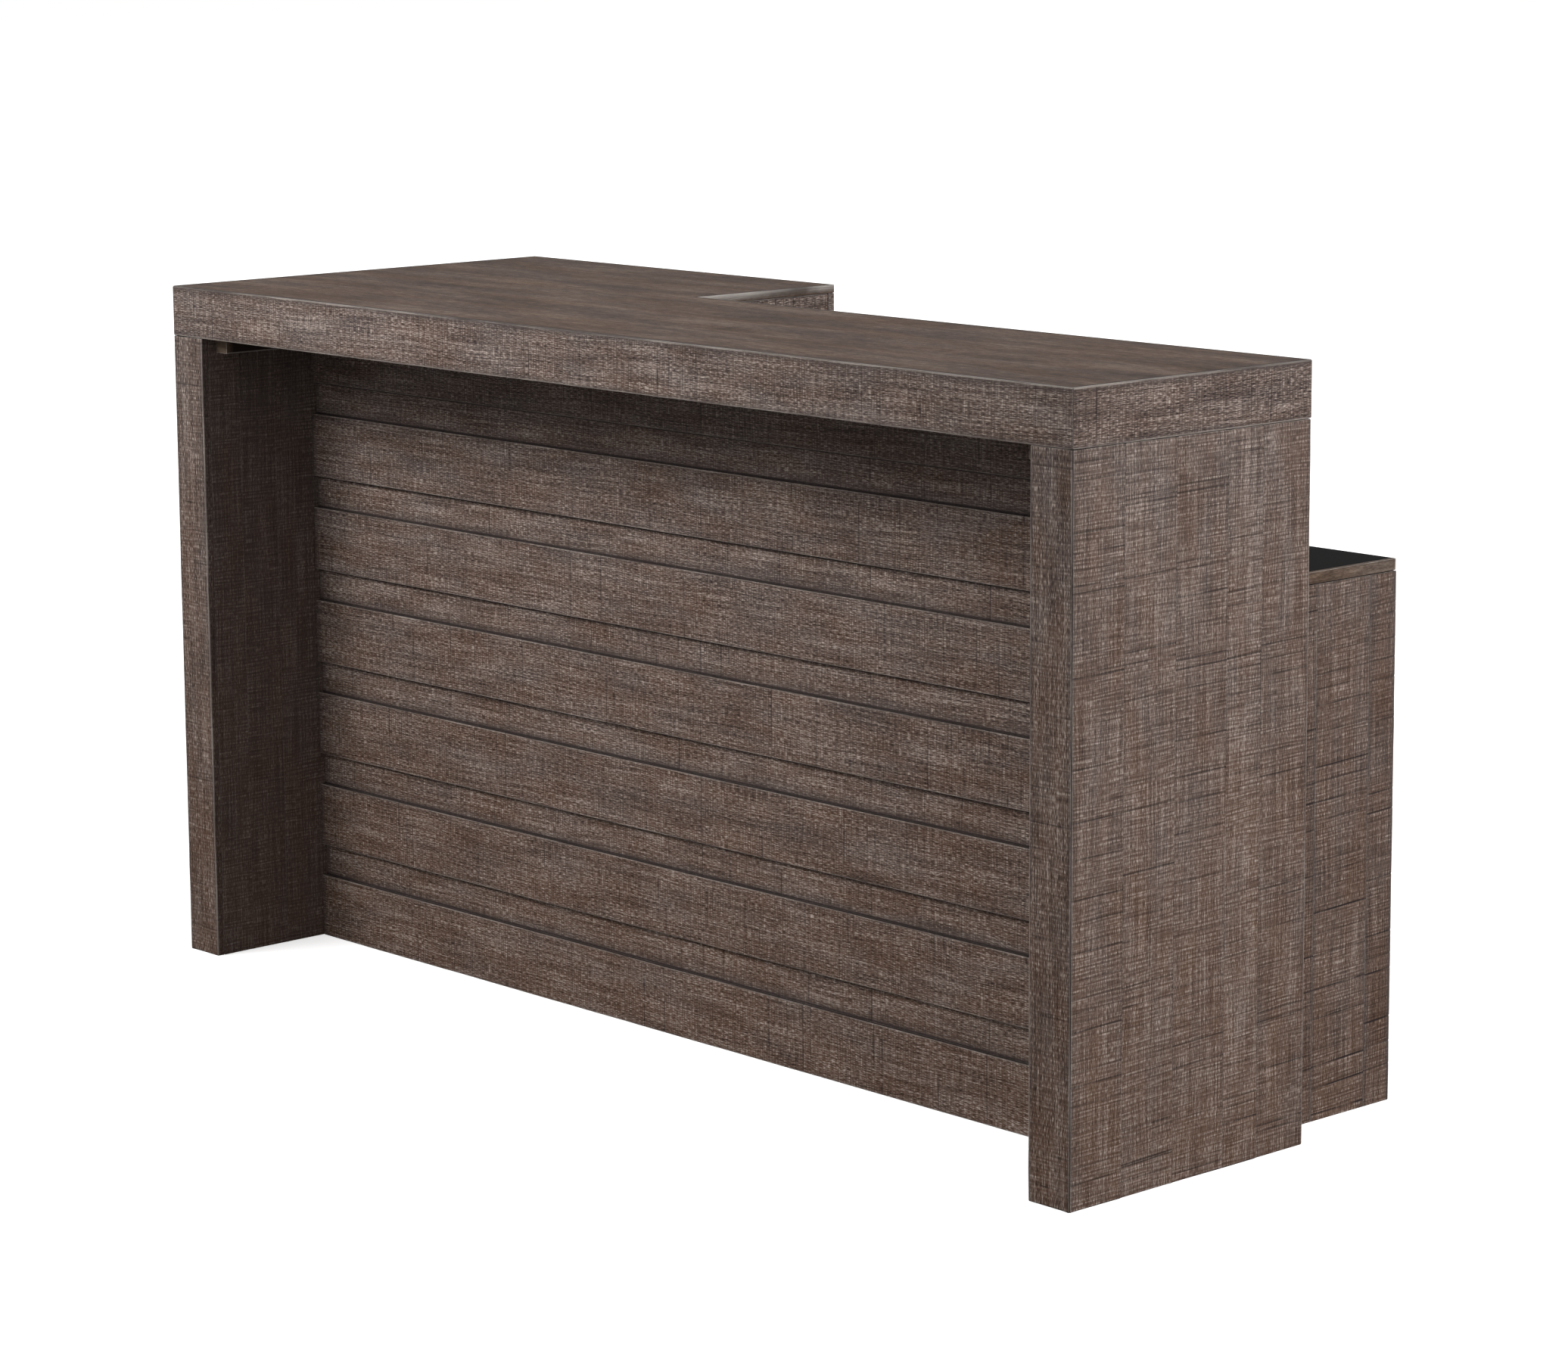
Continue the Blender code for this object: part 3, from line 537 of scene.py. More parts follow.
def staves(name, low, high, across, look, joint, first=None, widths=(), sawn=None, glaze=None,
           tone_mean=0.0, tone_range=1.0, tilt_range=1.0, paired=0.35, end_radius=None,
           rim=0.3, force=1.0):
    """An upright panel of staves side by side along one horizontal axis.

    Stave widths are drawn at random round the mean, or are given, and are scaled to fill the
    panel. The panel's saw cuts lean one way, and the paired share of them crosses a joint.
    first gives the outline and radii of the stave at the low end.
    """
    rng = np.random.default_rng(seed_of(name + "_staves"))
    span = high[across] - low[across]
    count = len(widths) or max(2, int(round(span / look.stave_width)))
    widths = np.asarray(widths) if len(widths) else rng.uniform(*STAVE_WIDTHS, count)
    joints = low[across] + np.concatenate([[0], np.cumsum(widths)]) * span / widths.sum()
    rise = high[Z] - low[Z]
    lean = rng.uniform(*PANEL_LEANS) * look.cut_tilt * tilt_range
    common = np.stack(saw_cuts(name + "_cuts", rise, look.cut_pitch))
    fine = look.point_step
    shells = []
    for k in range(count):
        inner_low, inner_high = np.array(low), np.array(high)
        inner_low[across], inner_high[across] = joints[k], joints[k + 1]
        corners = rectangle(inner_low, inner_high, Z)
        begins, near = (look.arris_radius, fine) if k == 0 else (joint, WHOLE)
        ends, far = (look.arris_radius, fine) if k == count - 1 else (joint, WHOLE)
        radii, steps = [begins, ends, ends, begins], [fine, far, fine, near]
        if across == Y:
            radii, steps = [begins, begins, ends, ends], [near, fine, far, fine]
        if k == 0 and first is not None:
            corners, radii = first(joints[1])
            steps = fine
        own = np.stack(saw_cuts(f"{name}_cuts_{k}", rise, look.cut_pitch))
        kept = [cuts[:, rng.random(cuts.shape[1]) < share]
                for cuts, share in ((common, paired), (own, 1 - paired))]
        shells.append(board(f"{name}_stave_{k}", corners, Z, low[Z], high[Z], look,
                            radii=radii, steps=steps, sawn=sawn, glaze=glaze,
                            cuts=tuple(np.concatenate(kept, 1) * [[1.0], [force]]),
                            tilt=lean * rng.uniform(*STAVE_LEANS),
                            end_radius=end_radius or look.end_rounding,
                            tone=tone_mean + tone_range * rng.uniform(-1, 1), rim=rim,
                            whole=0.9))
    return shells


def tube(path, radii, centre, along, sides=14):
    """A bent round bar with its path in the plane of an axis and +Y.

    Point s, angle a lies at path(s) + r(s) (cos a N + sin a B), where N is the path's normal in
    its plane and B the direction square to that plane.
    """
    ahead = np.gradient(path, axis=0)
    ahead /= np.linalg.norm(ahead, axis=1, keepdims=True)
    normal = np.stack([-ahead[:, 1], ahead[:, 0]], 1)
    turn = np.linspace(0, 2 * math.pi, sides, endpoint=False)
    flat = path[:, None] + radii[:, None, None] * np.cos(turn)[None, :, None] * normal[:, None]
    rings = np.empty(flat.shape[:2] + (3,))
    rings[..., [along, Y]] = flat
    rings[..., X + Z - along] = radii[:, None] * np.sin(turn)[None]
    return plain_shell(rings + centre)


def plain_shell(rings):
    """A shell without a map or a finish of its own."""
    grain = np.zeros(rings.shape[:1] + (rings.shape[1] + 1, 2))
    return Shell(rings, grain, np.zeros(rings.shape[:2] + (4,)), (0.0, 0.0, 0.0, 0.5))


def turned_shape(profile, place, normal, sides=24):
    """A profile of radius and height turned round an axis through a place."""
    turn = np.linspace(0, 2 * math.pi, sides, endpoint=False)
    a, b = others(normal)
    rings = np.empty((len(profile), sides, 3))
    rings[..., a] = place[a] + profile[:, :1] * np.cos(turn)
    rings[..., b] = place[b] + profile[:, :1] * np.sin(turn)
    rings[..., normal] = place[normal] + profile[:, 1:2]
    return rings


# Share of a screw head's height that its rim lies below the middle
HEAD_FALL = 0.55


def screw(place, normal, way, sizes):
    """A pan head: height falls off as the square of the radius, less a cross-shaped recess.

    The recess is as deep as half the head where the smaller of |x| and |y| is under an eighth
    of the radius, and ends at six tenths of the radius. The last two rings are the foot.
    """
    radius, rise = sizes.screw_radius, sizes.screw_rise
    share = np.array([0.05, 0.2, 0.35, 0.5, 0.6, 0.68, 0.8, 0.9, 1.0, 1.0, 0.05])
    lift = rise * (1 - HEAD_FALL * share ** 2)
    lift[-2:] = 0.0
    rings = turned_shape(np.stack([radius * share, way * lift], 1), place, normal)
    a, b = others(normal)
    off = np.minimum(np.abs(rings[..., a] - place[a]), np.abs(rings[..., b] - place[b]))
    deep = (off < radius / 8) * (share < 0.62)[:, None]
    deep[-2:] = False
    rings[..., normal] -= way * 0.5 * rise * deep
    return plain_shell(rings)


def add(tree, kind, inputs=(), stops=(), **settings):
    """Adds a shader node with its settings, and a ramp's stops of place and colour.

    Inputs fill the open sockets in order, or by name. A node or socket among them is linked,
    any other value is set.
    """
    node = tree.nodes.new("ShaderNode" + kind)
    for name, value in settings.items():
        setattr(node, name, value)
    for k, (place, tint) in enumerate(stops):
        ramp = node.color_ramp.elements
        stop = ramp[k] if k < 2 else ramp.new(place)
        stop.position, stop.color = place, (*tint[:3], 1.0)
    if not isinstance(inputs, dict):
        sockets = [socket for socket in node.inputs if socket.enabled]
        inputs = {sockets[k].identifier: value for k, value in enumerate(inputs)}
    by_name = {socket.identifier: socket for socket in node.inputs}
    for key, value in inputs.items():
        socket = by_name.get(key) or node.inputs[key]
        if isinstance(value, bpy.types.Node):
            value = next(out for out in value.outputs if out.enabled)
        if isinstance(value, bpy.types.NodeSocket):
            tree.links.new(value, socket)
        else:
            socket.default_value = value
    return node


def new_material(name):
    """An empty material and its node tree."""
    paint = bpy.data.materials.new(name)
    paint.use_nodes = True
    paint.node_tree.nodes.clear()
    return paint, paint.node_tree


def close_material(tree, tint, height, relief, **sockets):
    """Adds the shader with its bump, whose full height is relief metres, and the output."""
    bump = add(tree, "Bump", {"Height": height, "Distance": relief, "Strength": 1.0})
    inputs = {"Base Color": tint, "Normal": bump}
    inputs.update({key.replace("_", " "): value for key, value in sockets.items()})
    shader = add(tree, "BsdfPrincipled", inputs)
    add(tree, "OutputMaterial", {"Surface": shader})


# Millimetres in a metre
MM = 1000.0


def grain_vector(tree, fibre=None):
    """Millimetres along and across the fibres, as a vector's first two numbers.

    Pieces made here carry them in a map. A node of the frame takes its object coordinates and
    the direction of its fibres.
    """
    if fibre is None:
        return add(tree, "VectorMath", (add(tree, "UVMap", uv_map=GRAIN_MAP), (MM, MM, 0.0)),
                   operation="MULTIPLY")
    place = add(tree, "TexCoord").outputs["Object"]
    fibre = Vector(fibre).normalized()
    other = Vector((1.0, 1.0, 1.0)) - fibre * sum(fibre)
    along = add(tree, "VectorMath", (place, fibre * MM), operation="DOT_PRODUCT")
    across = add(tree, "VectorMath", (place, other * MM), operation="DOT_PRODUCT")
    return add(tree, "CombineXYZ", (along, across))


def streaks(tree, grain, long, wide, detail, roughness, seed):
    """Noise on a net of long by wide millimetres, brought to -1 .. 1 for most of it."""
    place = add(tree, "VectorMath", (grain, (1.0 / long, 1.0 / wide, 0.0),
                                     (seed, 1.7 * seed, 0.0)), operation="MULTIPLY_ADD")
    noise = add(tree, "TexNoise", {"Vector": place, "Scale": 1.0, "Detail": detail,
                                   "Roughness": roughness}, noise_dimensions="2D")
    return add(tree, "MapRange", (noise, 0.28, 0.72, -1.0, 1.0))


def total(tree, base, *terms):
    """base plus the sum of each term's weight times its value."""
    for weight, value in terms:
        base = add(tree, "Math", (value, weight, base), operation="MULTIPLY_ADD")
    return base


def wander(tree, grain, reach, long, wide, seed):
    """Bends the fibres sideways by up to reach millimetres."""
    bend = streaks(tree, grain, long, wide, 1.0, 0.5, seed)
    return add(tree, "VectorMath", (add(tree, "CombineXYZ", (0.0, bend)),
                                    (0.0, reach, 0.0), grain), operation="MULTIPLY_ADD")


def finish_channels(tree):
    """The shares of worn edge, saw cut, pooled glaze with painted shade, and the board's tone."""
    worn = add(tree, "Attribute", attribute_name=FINISH)
    parts = add(tree, "SeparateColor", (worn.outputs["Color"],))
    return (*parts.outputs, worn.outputs["Alpha"])


# Millimetres between the ridges that the saw leaves
SAW_PITCH = 5.4


def rough_sawn_oak(name, colours, warmth, ridged):
    """Band-sawn, wire-brushed and glazed oak.

    The saw leaves ridges across the fibres about every 5 mm, which show most on ridged boards.
    The brush lifts the hard fibres, which break over the ridges into short pale dashes, and the
    dark glaze stays in pores, cuts and corners. A painted cool sheen turns it greyer higher up.
    """
    paint, tree = new_material(name)
    grain = wander(tree, grain_vector(tree), 3.0, 260.0, 80.0, 3.1)
    edge, cut, glaze, tone = finish_channels(tree)
    fibres = streaks(tree, grain, 130.0, 2.6, 3.0, 0.6, 11.3)
    dashes = streaks(tree, grain, 8.5 - 1.0 * ridged, 1.2 + 0.1 * ridged, 1.0, 0.55, 23.7)
    lines = streaks(tree, grain, 2.5 - 0.4 * ridged, 26.0 + 34.0 * ridged, 1.0, 0.5, 5.9)
    jitter = streaks(tree, grain, 60.0, 120.0, 1.0, 0.5, 83.1)
    along = add(tree, "SeparateXYZ", (grain,)).outputs[0]
    phase = total(tree, 0.0, (2 * math.pi / SAW_PITCH, along), (3.0, jitter))
    wave = add(tree, "Math", (phase,), operation="SINE")
    patches = streaks(tree, grain, 95.0, 48.0, 2.0, 0.55, 47.1)
    sawn = add(tree, "MapRange", (patches, -0.8, 0.8, 0.65, 1.0))
    ridges = add(tree, "Math", (total(tree, 0.0, (0.80, lines), (0.45, wave)), sawn),
                 operation="MULTIPLY")
    woven = add(tree, "Math", (ridges, dashes), operation="MULTIPLY")
    bands = streaks(tree, grain, 15.0, 230.0, 3.0, 0.7, 31.3)
    clouds = streaks(tree, grain, 220.0, 34.0, 3.0, 0.6, 61.9)
    level = total(tree, 0.45 + 0.02 * ridged, (0.18 - 0.03 * ridged, fibres),
                  (0.26 - 0.10 * ridged, dashes), (0.07 + 0.06 * ridged, ridges),
                  (0.14 - 0.04 * ridged, woven), (0.03 - 0.01 * ridged, bands),
                  (0.07 - 0.03 * ridged, clouds), (0.07, tone))
    hues = streaks(tree, grain, 150.0, 45.0, 2.0, 0.55, 71.3)
    # Painted sheen: the wood is drawn greyer with height, as the cooler light from above makes it
    # look
    painted_sheen_height = add(tree, "SeparateXYZ", (add(tree, "TexCoord").outputs["Object"],)).outputs[2]
    hue = add(tree, "MapRange", (total(tree, warmth, (0.5, hues), (-0.9, painted_sheen_height)),
                                 -1.0, 1.0))
    brown, grey = (add(tree, "ValToRGB", (level,), ((0.0, colours.pore), (0.22, shade),
                                                    (0.52, body), (1.0, colours.fleck)))
                   for shade, body in ((colours.warm_shade, colours.warm),
                                       (colours.cool_shade, colours.cool)))
    tint = add(tree, "Mix", (hue, grey, brown), data_type="RGBA")
    stained = add(tree, "Math", (cut, 0.95), operation="MINIMUM")
    tint = add(tree, "Mix", (stained, tint, (*colours.glaze, 1.0)), data_type="RGBA")
    # The glaze channel pulls the colour to the rim and glaze colours: real glaze, and painted
    # shade in the front's reveals, under the apron and in the knee space
    pooled = add(tree, "MapRange", (glaze, 0.0, 0.5, 0.0, 0.92))
    pool = add(tree, "ValToRGB", (glaze,), ((0.35, colours.rim), (0.9, colours.glaze)))
    tint = add(tree, "Mix", (pooled, tint, pool), data_type="RGBA")
    # Worn edges turn pale; on the fold's chamfer this also paints the highlight along it
    bare = add(tree, "MapRange", (fibres, -0.6, 0.5, 0.35, 0.95))
    bare = add(tree, "Math", (edge, bare), operation="MULTIPLY")
    tint = add(tree, "Mix", (bare, tint, (*colours.arris, 1.0)), data_type="RGBA")
    calm = add(tree, "MapRange", (glaze, 0.0, 0.6, 1.0, 0.25))
    relief = total(tree, 0.5, (0.16, fibres), (0.14, dashes), (0.15 + 0.09 * ridged, ridges))
    relief = total(tree, 0.0, (1.0, add(tree, "Math", (relief, calm), operation="MULTIPLY")),
                   (-0.4, cut))
    close_material(tree, tint, relief, 0.0010, Roughness=0.82, Specular_IOR_Level=0.10)
    return paint


# Share of a planed board's level that its own tone moves
TONE_STEP = 0.4


def planed_oak(name, tints, contrast, fibre=None):
    """Planed and stained oak under a thin satin coat.

    The plane leaves long quiet fibres and short pale flecks, and the stain gathers in soft
    clouds, some browner, and in fine pores.
    """
    paint, tree = new_material(name)
    grain = wander(tree, grain_vector(tree, fibre), 9.0, 420.0, 90.0, 2.3)
    edge, _, glaze, tone = finish_channels(tree)
    fibres = streaks(tree, grain, 150.0, 2.6, 4.0, 0.62, 13.7)
    clouds = streaks(tree, grain, 260.0, 55.0, 3.0, 0.6, 29.1)
    broad = streaks(tree, grain, 700.0, 38.0, 2.0, 0.55, 53.3)
    dashes = streaks(tree, grain, 24.0, 7.0, 2.0, 0.6, 43.9)
    pores = streaks(tree, grain, 7.0, 1.6, 1.0, 0.5, 37.9)
    lift = tone if fibre is None else 0.5
    level = total(tree, 0.5 - 0.5 * TONE_STEP, (TONE_STEP, lift),
                  (0.13 * contrast, fibres), (0.20 * contrast, clouds),
                  (0.09 * contrast, broad), (0.15 * contrast, dashes),
                  (0.10 * contrast, pores))
    dark, body, light = tints
    tint = add(tree, "ValToRGB", (level,), ((0.12, dark), (0.50, body), (0.95, light)))
    hues = streaks(tree, grain, 300.0, 70.0, 2.0, 0.55, 19.9)
    warmth = add(tree, "MapRange", (hues, -0.5, 1.0, 0.0, 0.45))
    tint = add(tree, "Mix", (warmth, tint, rgba("#6a4f38")), data_type="RGBA",
               blend_type="COLOR")
    tint = add(tree, "Mix", (glaze, tint, rgba("#292220")), data_type="RGBA")
    # Worn edges turn pale; on the top's fold this also paints the highlight along it
    bare = add(tree, "MapRange", (fibres, -0.6, 0.6, 0.55, 1.0))
    bare = add(tree, "Math", (edge, bare), operation="MULTIPLY")
    tint = add(tree, "Mix", (bare, tint, rgba("#cbc5bf")), data_type="RGBA")
    relief = total(tree, 0.5, (0.25, fibres), (0.2, pores))
    close_material(tree, tint, relief, 0.0002, Roughness=0.70, Specular_IOR_Level=0.07)
    return paint


def black_laminate(colours):
    """Black high-pressure laminate, pressed with a fine leather texture: even and satin."""
    paint, tree = new_material("black_pressed_laminate")
    place = add(tree, "TexCoord").outputs["Object"]
    pebbles = add(tree, "TexNoise", {"Vector": place, "Scale": 900.0, "Detail": 2.0})
    dust = add(tree, "TexNoise", {"Vector": place, "Scale": 6.0, "Detail": 4.0})
    haze = add(tree, "MapRange", (dust, 0.35, 0.7, 0.0, 0.08))
    tint = add(tree, "Mix", (haze, (*colours.laminate, 1.0), rgba("#282624")),
               data_type="RGBA")
    close_material(tree, tint, pebbles, 0.00006, Roughness=0.75, Specular_IOR_Level=0.01)
    return paint


def painted_casting(colours):
    """Die-cast zinc, painted dark bronze: slightly uneven, with a little wear in small spots."""
    paint, tree = new_material("bronze_painted_casting")
    place = add(tree, "TexCoord").outputs["Object"]
    grit = add(tree, "TexNoise", {"Vector": place, "Scale": 260.0, "Detail": 3.0})
    worn = add(tree, "MapRange", (grit, 0.4, 0.7, 0.0, 0.5))
    tint = add(tree, "Mix", (worn, (*colours.bronze, 1.0), rgba("#4a423c")), data_type="RGBA")
    close_material(tree, tint, grit, 0.00005, Roughness=0.42, Metallic=0.85)
    return paint


def plated_steel(colours):
    """Rolled steel strip, zinc plated: a cool grey with faint rolling lines."""
    paint, tree = new_material("zinc_plated_rolled_steel")
    grain = grain_vector(tree, (0.0, 1.0, 0.0))
    lines = streaks(tree, grain, 60.0, 0.7, 2.0, 0.6, 9.1)
    spangle = streaks(tree, grain, 5.0, 5.0, 2.0, 0.6, 17.3)
    level = total(tree, 0.5, (0.25, lines), (0.2, spangle))
    tint = add(tree, "ValToRGB", (level,), ((0.1, linear("#7f8487")), (0.9, colours.zinc)))
    rough = add(tree, "MapRange", (spangle, -1.0, 1.0, 0.28, 0.42))
    close_material(tree, tint, lines, 0.00003, Roughness=rough, Metallic=1.0)
    return paint


# Rough finishes: the material, how warm it is, and how much the saw's ridges show
ROUGH = {"rough": ("rough_sawn_glazed_oak", 0.82, 0.0),
         "ridged": ("cross_ridged_glazed_oak", 0.76, 1.0)}
# Planed finishes: the material, the first word of its three colours, and its contrast
PLANED = {"top": ("planed_stained_oak", "top", 1.0), "edge": ("planed_edge_oak", "edge", 1.4),
          "inside": ("stained_cabinet_oak", "inside", 0.8), "raw": ("unfinished_oak", "raw", 0.7),
          "rack": ("stained_rack_oak", "inside", 0.8),
          "rising": ("stained_oak_rising", "inside", 0.8),
          "falling": ("stained_oak_falling", "inside", 0.8)}
OTHERS = {"laminate": black_laminate, "bronze": painted_casting, "zinc": plated_steel}
# Direction of the fibres in the wooden nodes of the frame that keep their shape
LATTICE = np.subtract(*box("wine_lattice_rising")[::-1])
FIBRES = {"rack": (0.0, 1.0, 0.0), "rising": (LATTICE[X], 0.0, LATTICE[Z]),
          "falling": (-LATTICE[X], 0.0, LATTICE[Z])}
PAINTS = {}


def material(name):
    """Makes a material the first time that it is asked for."""
    wood = bpy.context.scene.home_bar_wood
    if name in PAINTS:
        return PAINTS[name]
    if name in ROUGH:
        title, warmth, ridged = ROUGH[name]
        PAINTS[name] = rough_sawn_oak(title, wood, warmth, ridged)
    elif name in PLANED:
        title, group, contrast = PLANED[name]
        tints = [getattr(wood, f"{group}_{part}") for part in ("dark", "body", "light")]
        PAINTS[name] = planed_oak(title, tints, contrast, FIBRES.get(name))
    else:
        PAINTS[name] = OTHERS[name](wood)
    return PAINTS[name]


def repaint(node, name):
    """Gives a node of the frame a better material."""
    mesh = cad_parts[node].data
    mesh.materials.clear()
    mesh.materials.append(material(name))


def apron_outline(outer, inner, look):
    """Section of a mitred apron from its outer face to its inner one.

    At the head it takes the lower half of the chamfer that it shares with the top.
    """
    bottom = box("apron_front")[0][Z]
    under, top = LID_LOW[Z], LID_HIGH[Z]
    depth = abs(inner - outer)
    way = 1 if inner > outer else -1
    share = look.fold_chamfer / (top - under + depth)
    corners = [(outer, bottom), (inner, bottom), (inner, under),
               (outer + way * share * depth, top - share * (top - under)),
               (outer, top - look.fold_chamfer)]
    return handed(way > 0, corners, [look.arris_radius, GAP, GAP, GAP, GAP])


def handed(plain, corners, radii):
    """An outline and its radii, or the same turned round where it was given mirrored."""
    return (corners, radii) if plain else (corners[::-1], radii[::-1])


# Lengths of the broad and of the short stretches of the fold that are rubbed, with a painted
# highlight, or stained
BROAD, SHORT = 0.30, 0.05


def fold_wear_and_highlight(rings):
    """Wear and painted highlight along the fold's chamfer: mostly, with a few stained stretches.
    """
    broad = smooth_noise(rings[..., X] / BROAD, rings[..., Y] / BROAD, 7)
    short = smooth_noise(rings[..., X] / SHORT, rings[..., Y] / SHORT, 9)
    return np.clip(0.8 + 0.7 * broad + 0.3 * short, 0, 1)


def on_fold(rings, look):
    """1 on the half of the fold's chamfer that an apron carries."""
    return rings[..., Z] > LID_HIGH[Z] - look.fold_chamfer - 2 * GAP


# Reach of the glaze below the fold and below the lid, and depths of extra points under the lid
FOLD_STAIN, JOINT_STAIN = 0.011, 0.0024
JOINT_MARKS = np.array([0.0018, 0.0034])


def add_aprons(look):
    """The three mitred aprons and the two under the wing's rear edges."""
    def stained(rings):
        """Glaze fades downwards from the fold, and covers the stretches that aren't rubbed."""
        under = 0.5 * fade(LID_HIGH[Z] - rings[..., Z], FOLD_STAIN)
        return np.where(on_fold(rings, look), 1 - fold_wear_and_highlight(rings), under)

    def rubbed(rings):
        """The fold is worn, and lighter with a painted highlight."""
        return on_fold(rings, look) * fold_wear_and_highlight(rings)

    def jointed(rings):
        """Glaze lies in the joint under the lid's edge."""
        return fade(LID_LOW[Z] - rings[..., Z], JOINT_STAIN, 1.3)
    # The side aprons take the darkest tone: painted shade that keeps them darker than the front
    # apron
    for node, axis, tone in (("apron_front", X, None), ("apron_left", Y, -1.0),
                             ("apron_right", Y, -1.0)):
        low, high = box(node)
        outer, inner = low[X + Y - axis], high[X + Y - axis]
        if node == "apron_right":
            outer, inner = inner, outer
        corners, radii = apron_outline(outer, inner, look)
        shell = board(node, corners, axis, lambda p: low[axis] + np.abs(p[:, 0] - outer),
                      lambda p: high[axis] - (axis == X) * np.abs(p[:, 0] - outer), look,
                      radii=radii, end_radius=look.end_rounding, glaze=stained, bare=rubbed,
                      tone=tone)
        piece(node + "_board", [shell], "rough", node)
    for node, axis in (("apron_wing_back", X), ("apron_wing_inner", Y)):
        shell = box_board(node, axis, look, glaze=jointed, marks=LID_LOW[Z] - JOINT_MARKS)
        piece(node + "_board", [shell], "rough", node)


# Rings within this depth of a slab's top belong to its face, and the tone of its edges
FACE_BAND, EDGE_TONE = 0.0001, 0.7


def slab(levels, step, top):
    """A flat board: rounded outlines at rising levels, with flat faces below and above.

    A corner is a parabola between points one radius from it. The map runs along X on the flat
    faces, and along the outline on the sides, like the fibres of an edge band.
    """
    bends = np.linspace(0, 1, ARC_STEPS + 1)[:, None]
    first = np.asarray(levels[0][3], float)
    lengths = np.linalg.norm(np.roll(first, -1, 0) - first, axis=1)
    counts = np.maximum(2, np.round(lengths / step)).astype(int)
    rings, worn, pools = [], [], []
    for level, wear, pool, corners, radius in levels:
        corners = np.asarray(corners, float)
        incoming, outgoing = directions(corners)
        begins, ends = corners - incoming * radius, corners + outgoing * radius
        parts = []
        for k, count in enumerate(counts):
            parts.append((1 - bends) ** 2 * begins[k] + 2 * bends * (1 - bends) * corners[k]
                         + bends ** 2 * ends[k])
            share = np.linspace(0, 1, count + 1)[1:-1, None]
            parts.append(ends[k] + (begins[(k + 1) % len(corners)] - ends[k]) * share)
        ring = np.concatenate(parts)
        rings.append(np.column_stack([ring, np.full(len(ring), level)]))
        worn.append(np.full(len(ring), wear))
        pools.append(np.full(len(ring), pool))
    rings, worn = np.array(rings), np.array(worn)
    closed = np.concatenate([rings, rings[:, :1]], 1)
    flat = closed[..., Z] > top - FACE_BAND
    grain = np.stack([closed[..., X] + np.where(flat, 0.0, closed[..., Y]),
                      np.where(flat, closed[..., Y], top - closed[..., Z])], -1)
    rub = fold_wear_and_highlight(rings)
    finish = np.zeros(worn.shape + (4,))
    # Where the outline is worn, as along the top's fold, it turns pale: wear with a painted
    # highlight
    finish[..., 0] = worn * rub
    finish[..., 2] = np.maximum(pools, worn * (1 - rub))
    finish[..., 3] = np.where(flat[:, :-1], 0.5, EDGE_TONE)
    return Shell(rings, grain, finish, (0.0, 0.0, 0.0, 0.5))


# Where the glaze on the lid starts beside its chamfer, and thins and ends inside its outline
LID_POOLS = (0.0014, 0.007, 0.013)
# Distances between the points along the outline of the lid and of the counter
LID_STEP, COUNTER_STEP = 0.02, 0.03


def add_lid(look):
    """The top board, with the upper half of the fold's chamfer along three sides.

    A row holds a height, the wear and the glaze there, and how far the outline is drawn in
    along the fold and along the square edges.
    """
    under, top = LID_LOW[Z], LID_HIGH[Z]
    thickness = top - under
    chamfer, fine = look.fold_chamfer, look.fine_radius
    share, ease = chamfer / (2 * thickness), 0.3 * fine
    first, middle, last = LID_POOLS
    levels = []
    for level, wear, pool, fold, square in (
            (under, 0.0, 0.0, thickness + 2 * GAP, ease),
            (under + ease, 0.0, 0.0, thickness - ease + 2 * GAP, 0.0),
            (top - share * thickness, 1.0, 0.0, share * thickness + 2 * GAP, 0.0),
            (top - ease, 1.0, 0.0, 0.75 * chamfer, ease),
            (top, 0.7, 0.1, chamfer, fine), (top, 0.0, 0.6, chamfer + first, fine + first),
            (top, 0.0, 0.5, middle, middle), (top, 0.0, 0.0, last, last)):
        left, front = CAD_BOX[0][X] + fold, CAD_BOX[0][Y] + fold
        right, back = CAD_BOX[1][X] - fold, LID_HIGH[Y] - square
        run_back, notch = RUN_BACK - square, WING_RIGHT - square
        corners = [(left, front), (right, front), (right, run_back), (notch, run_back),
                   (notch, back), (left, back)]
        levels.append((level, wear, pool, corners, fine))
    piece("bar_top_board", [slab(levels, LID_STEP, top)], "top", "bar_top")


# Depth behind an end's inner face in which the saw's marks fade, and the glaze and painted
# shade on that face in the knee space
FACE_DEPTH, KNEE_GLAZE_AND_SHADE = 0.004, 0.2


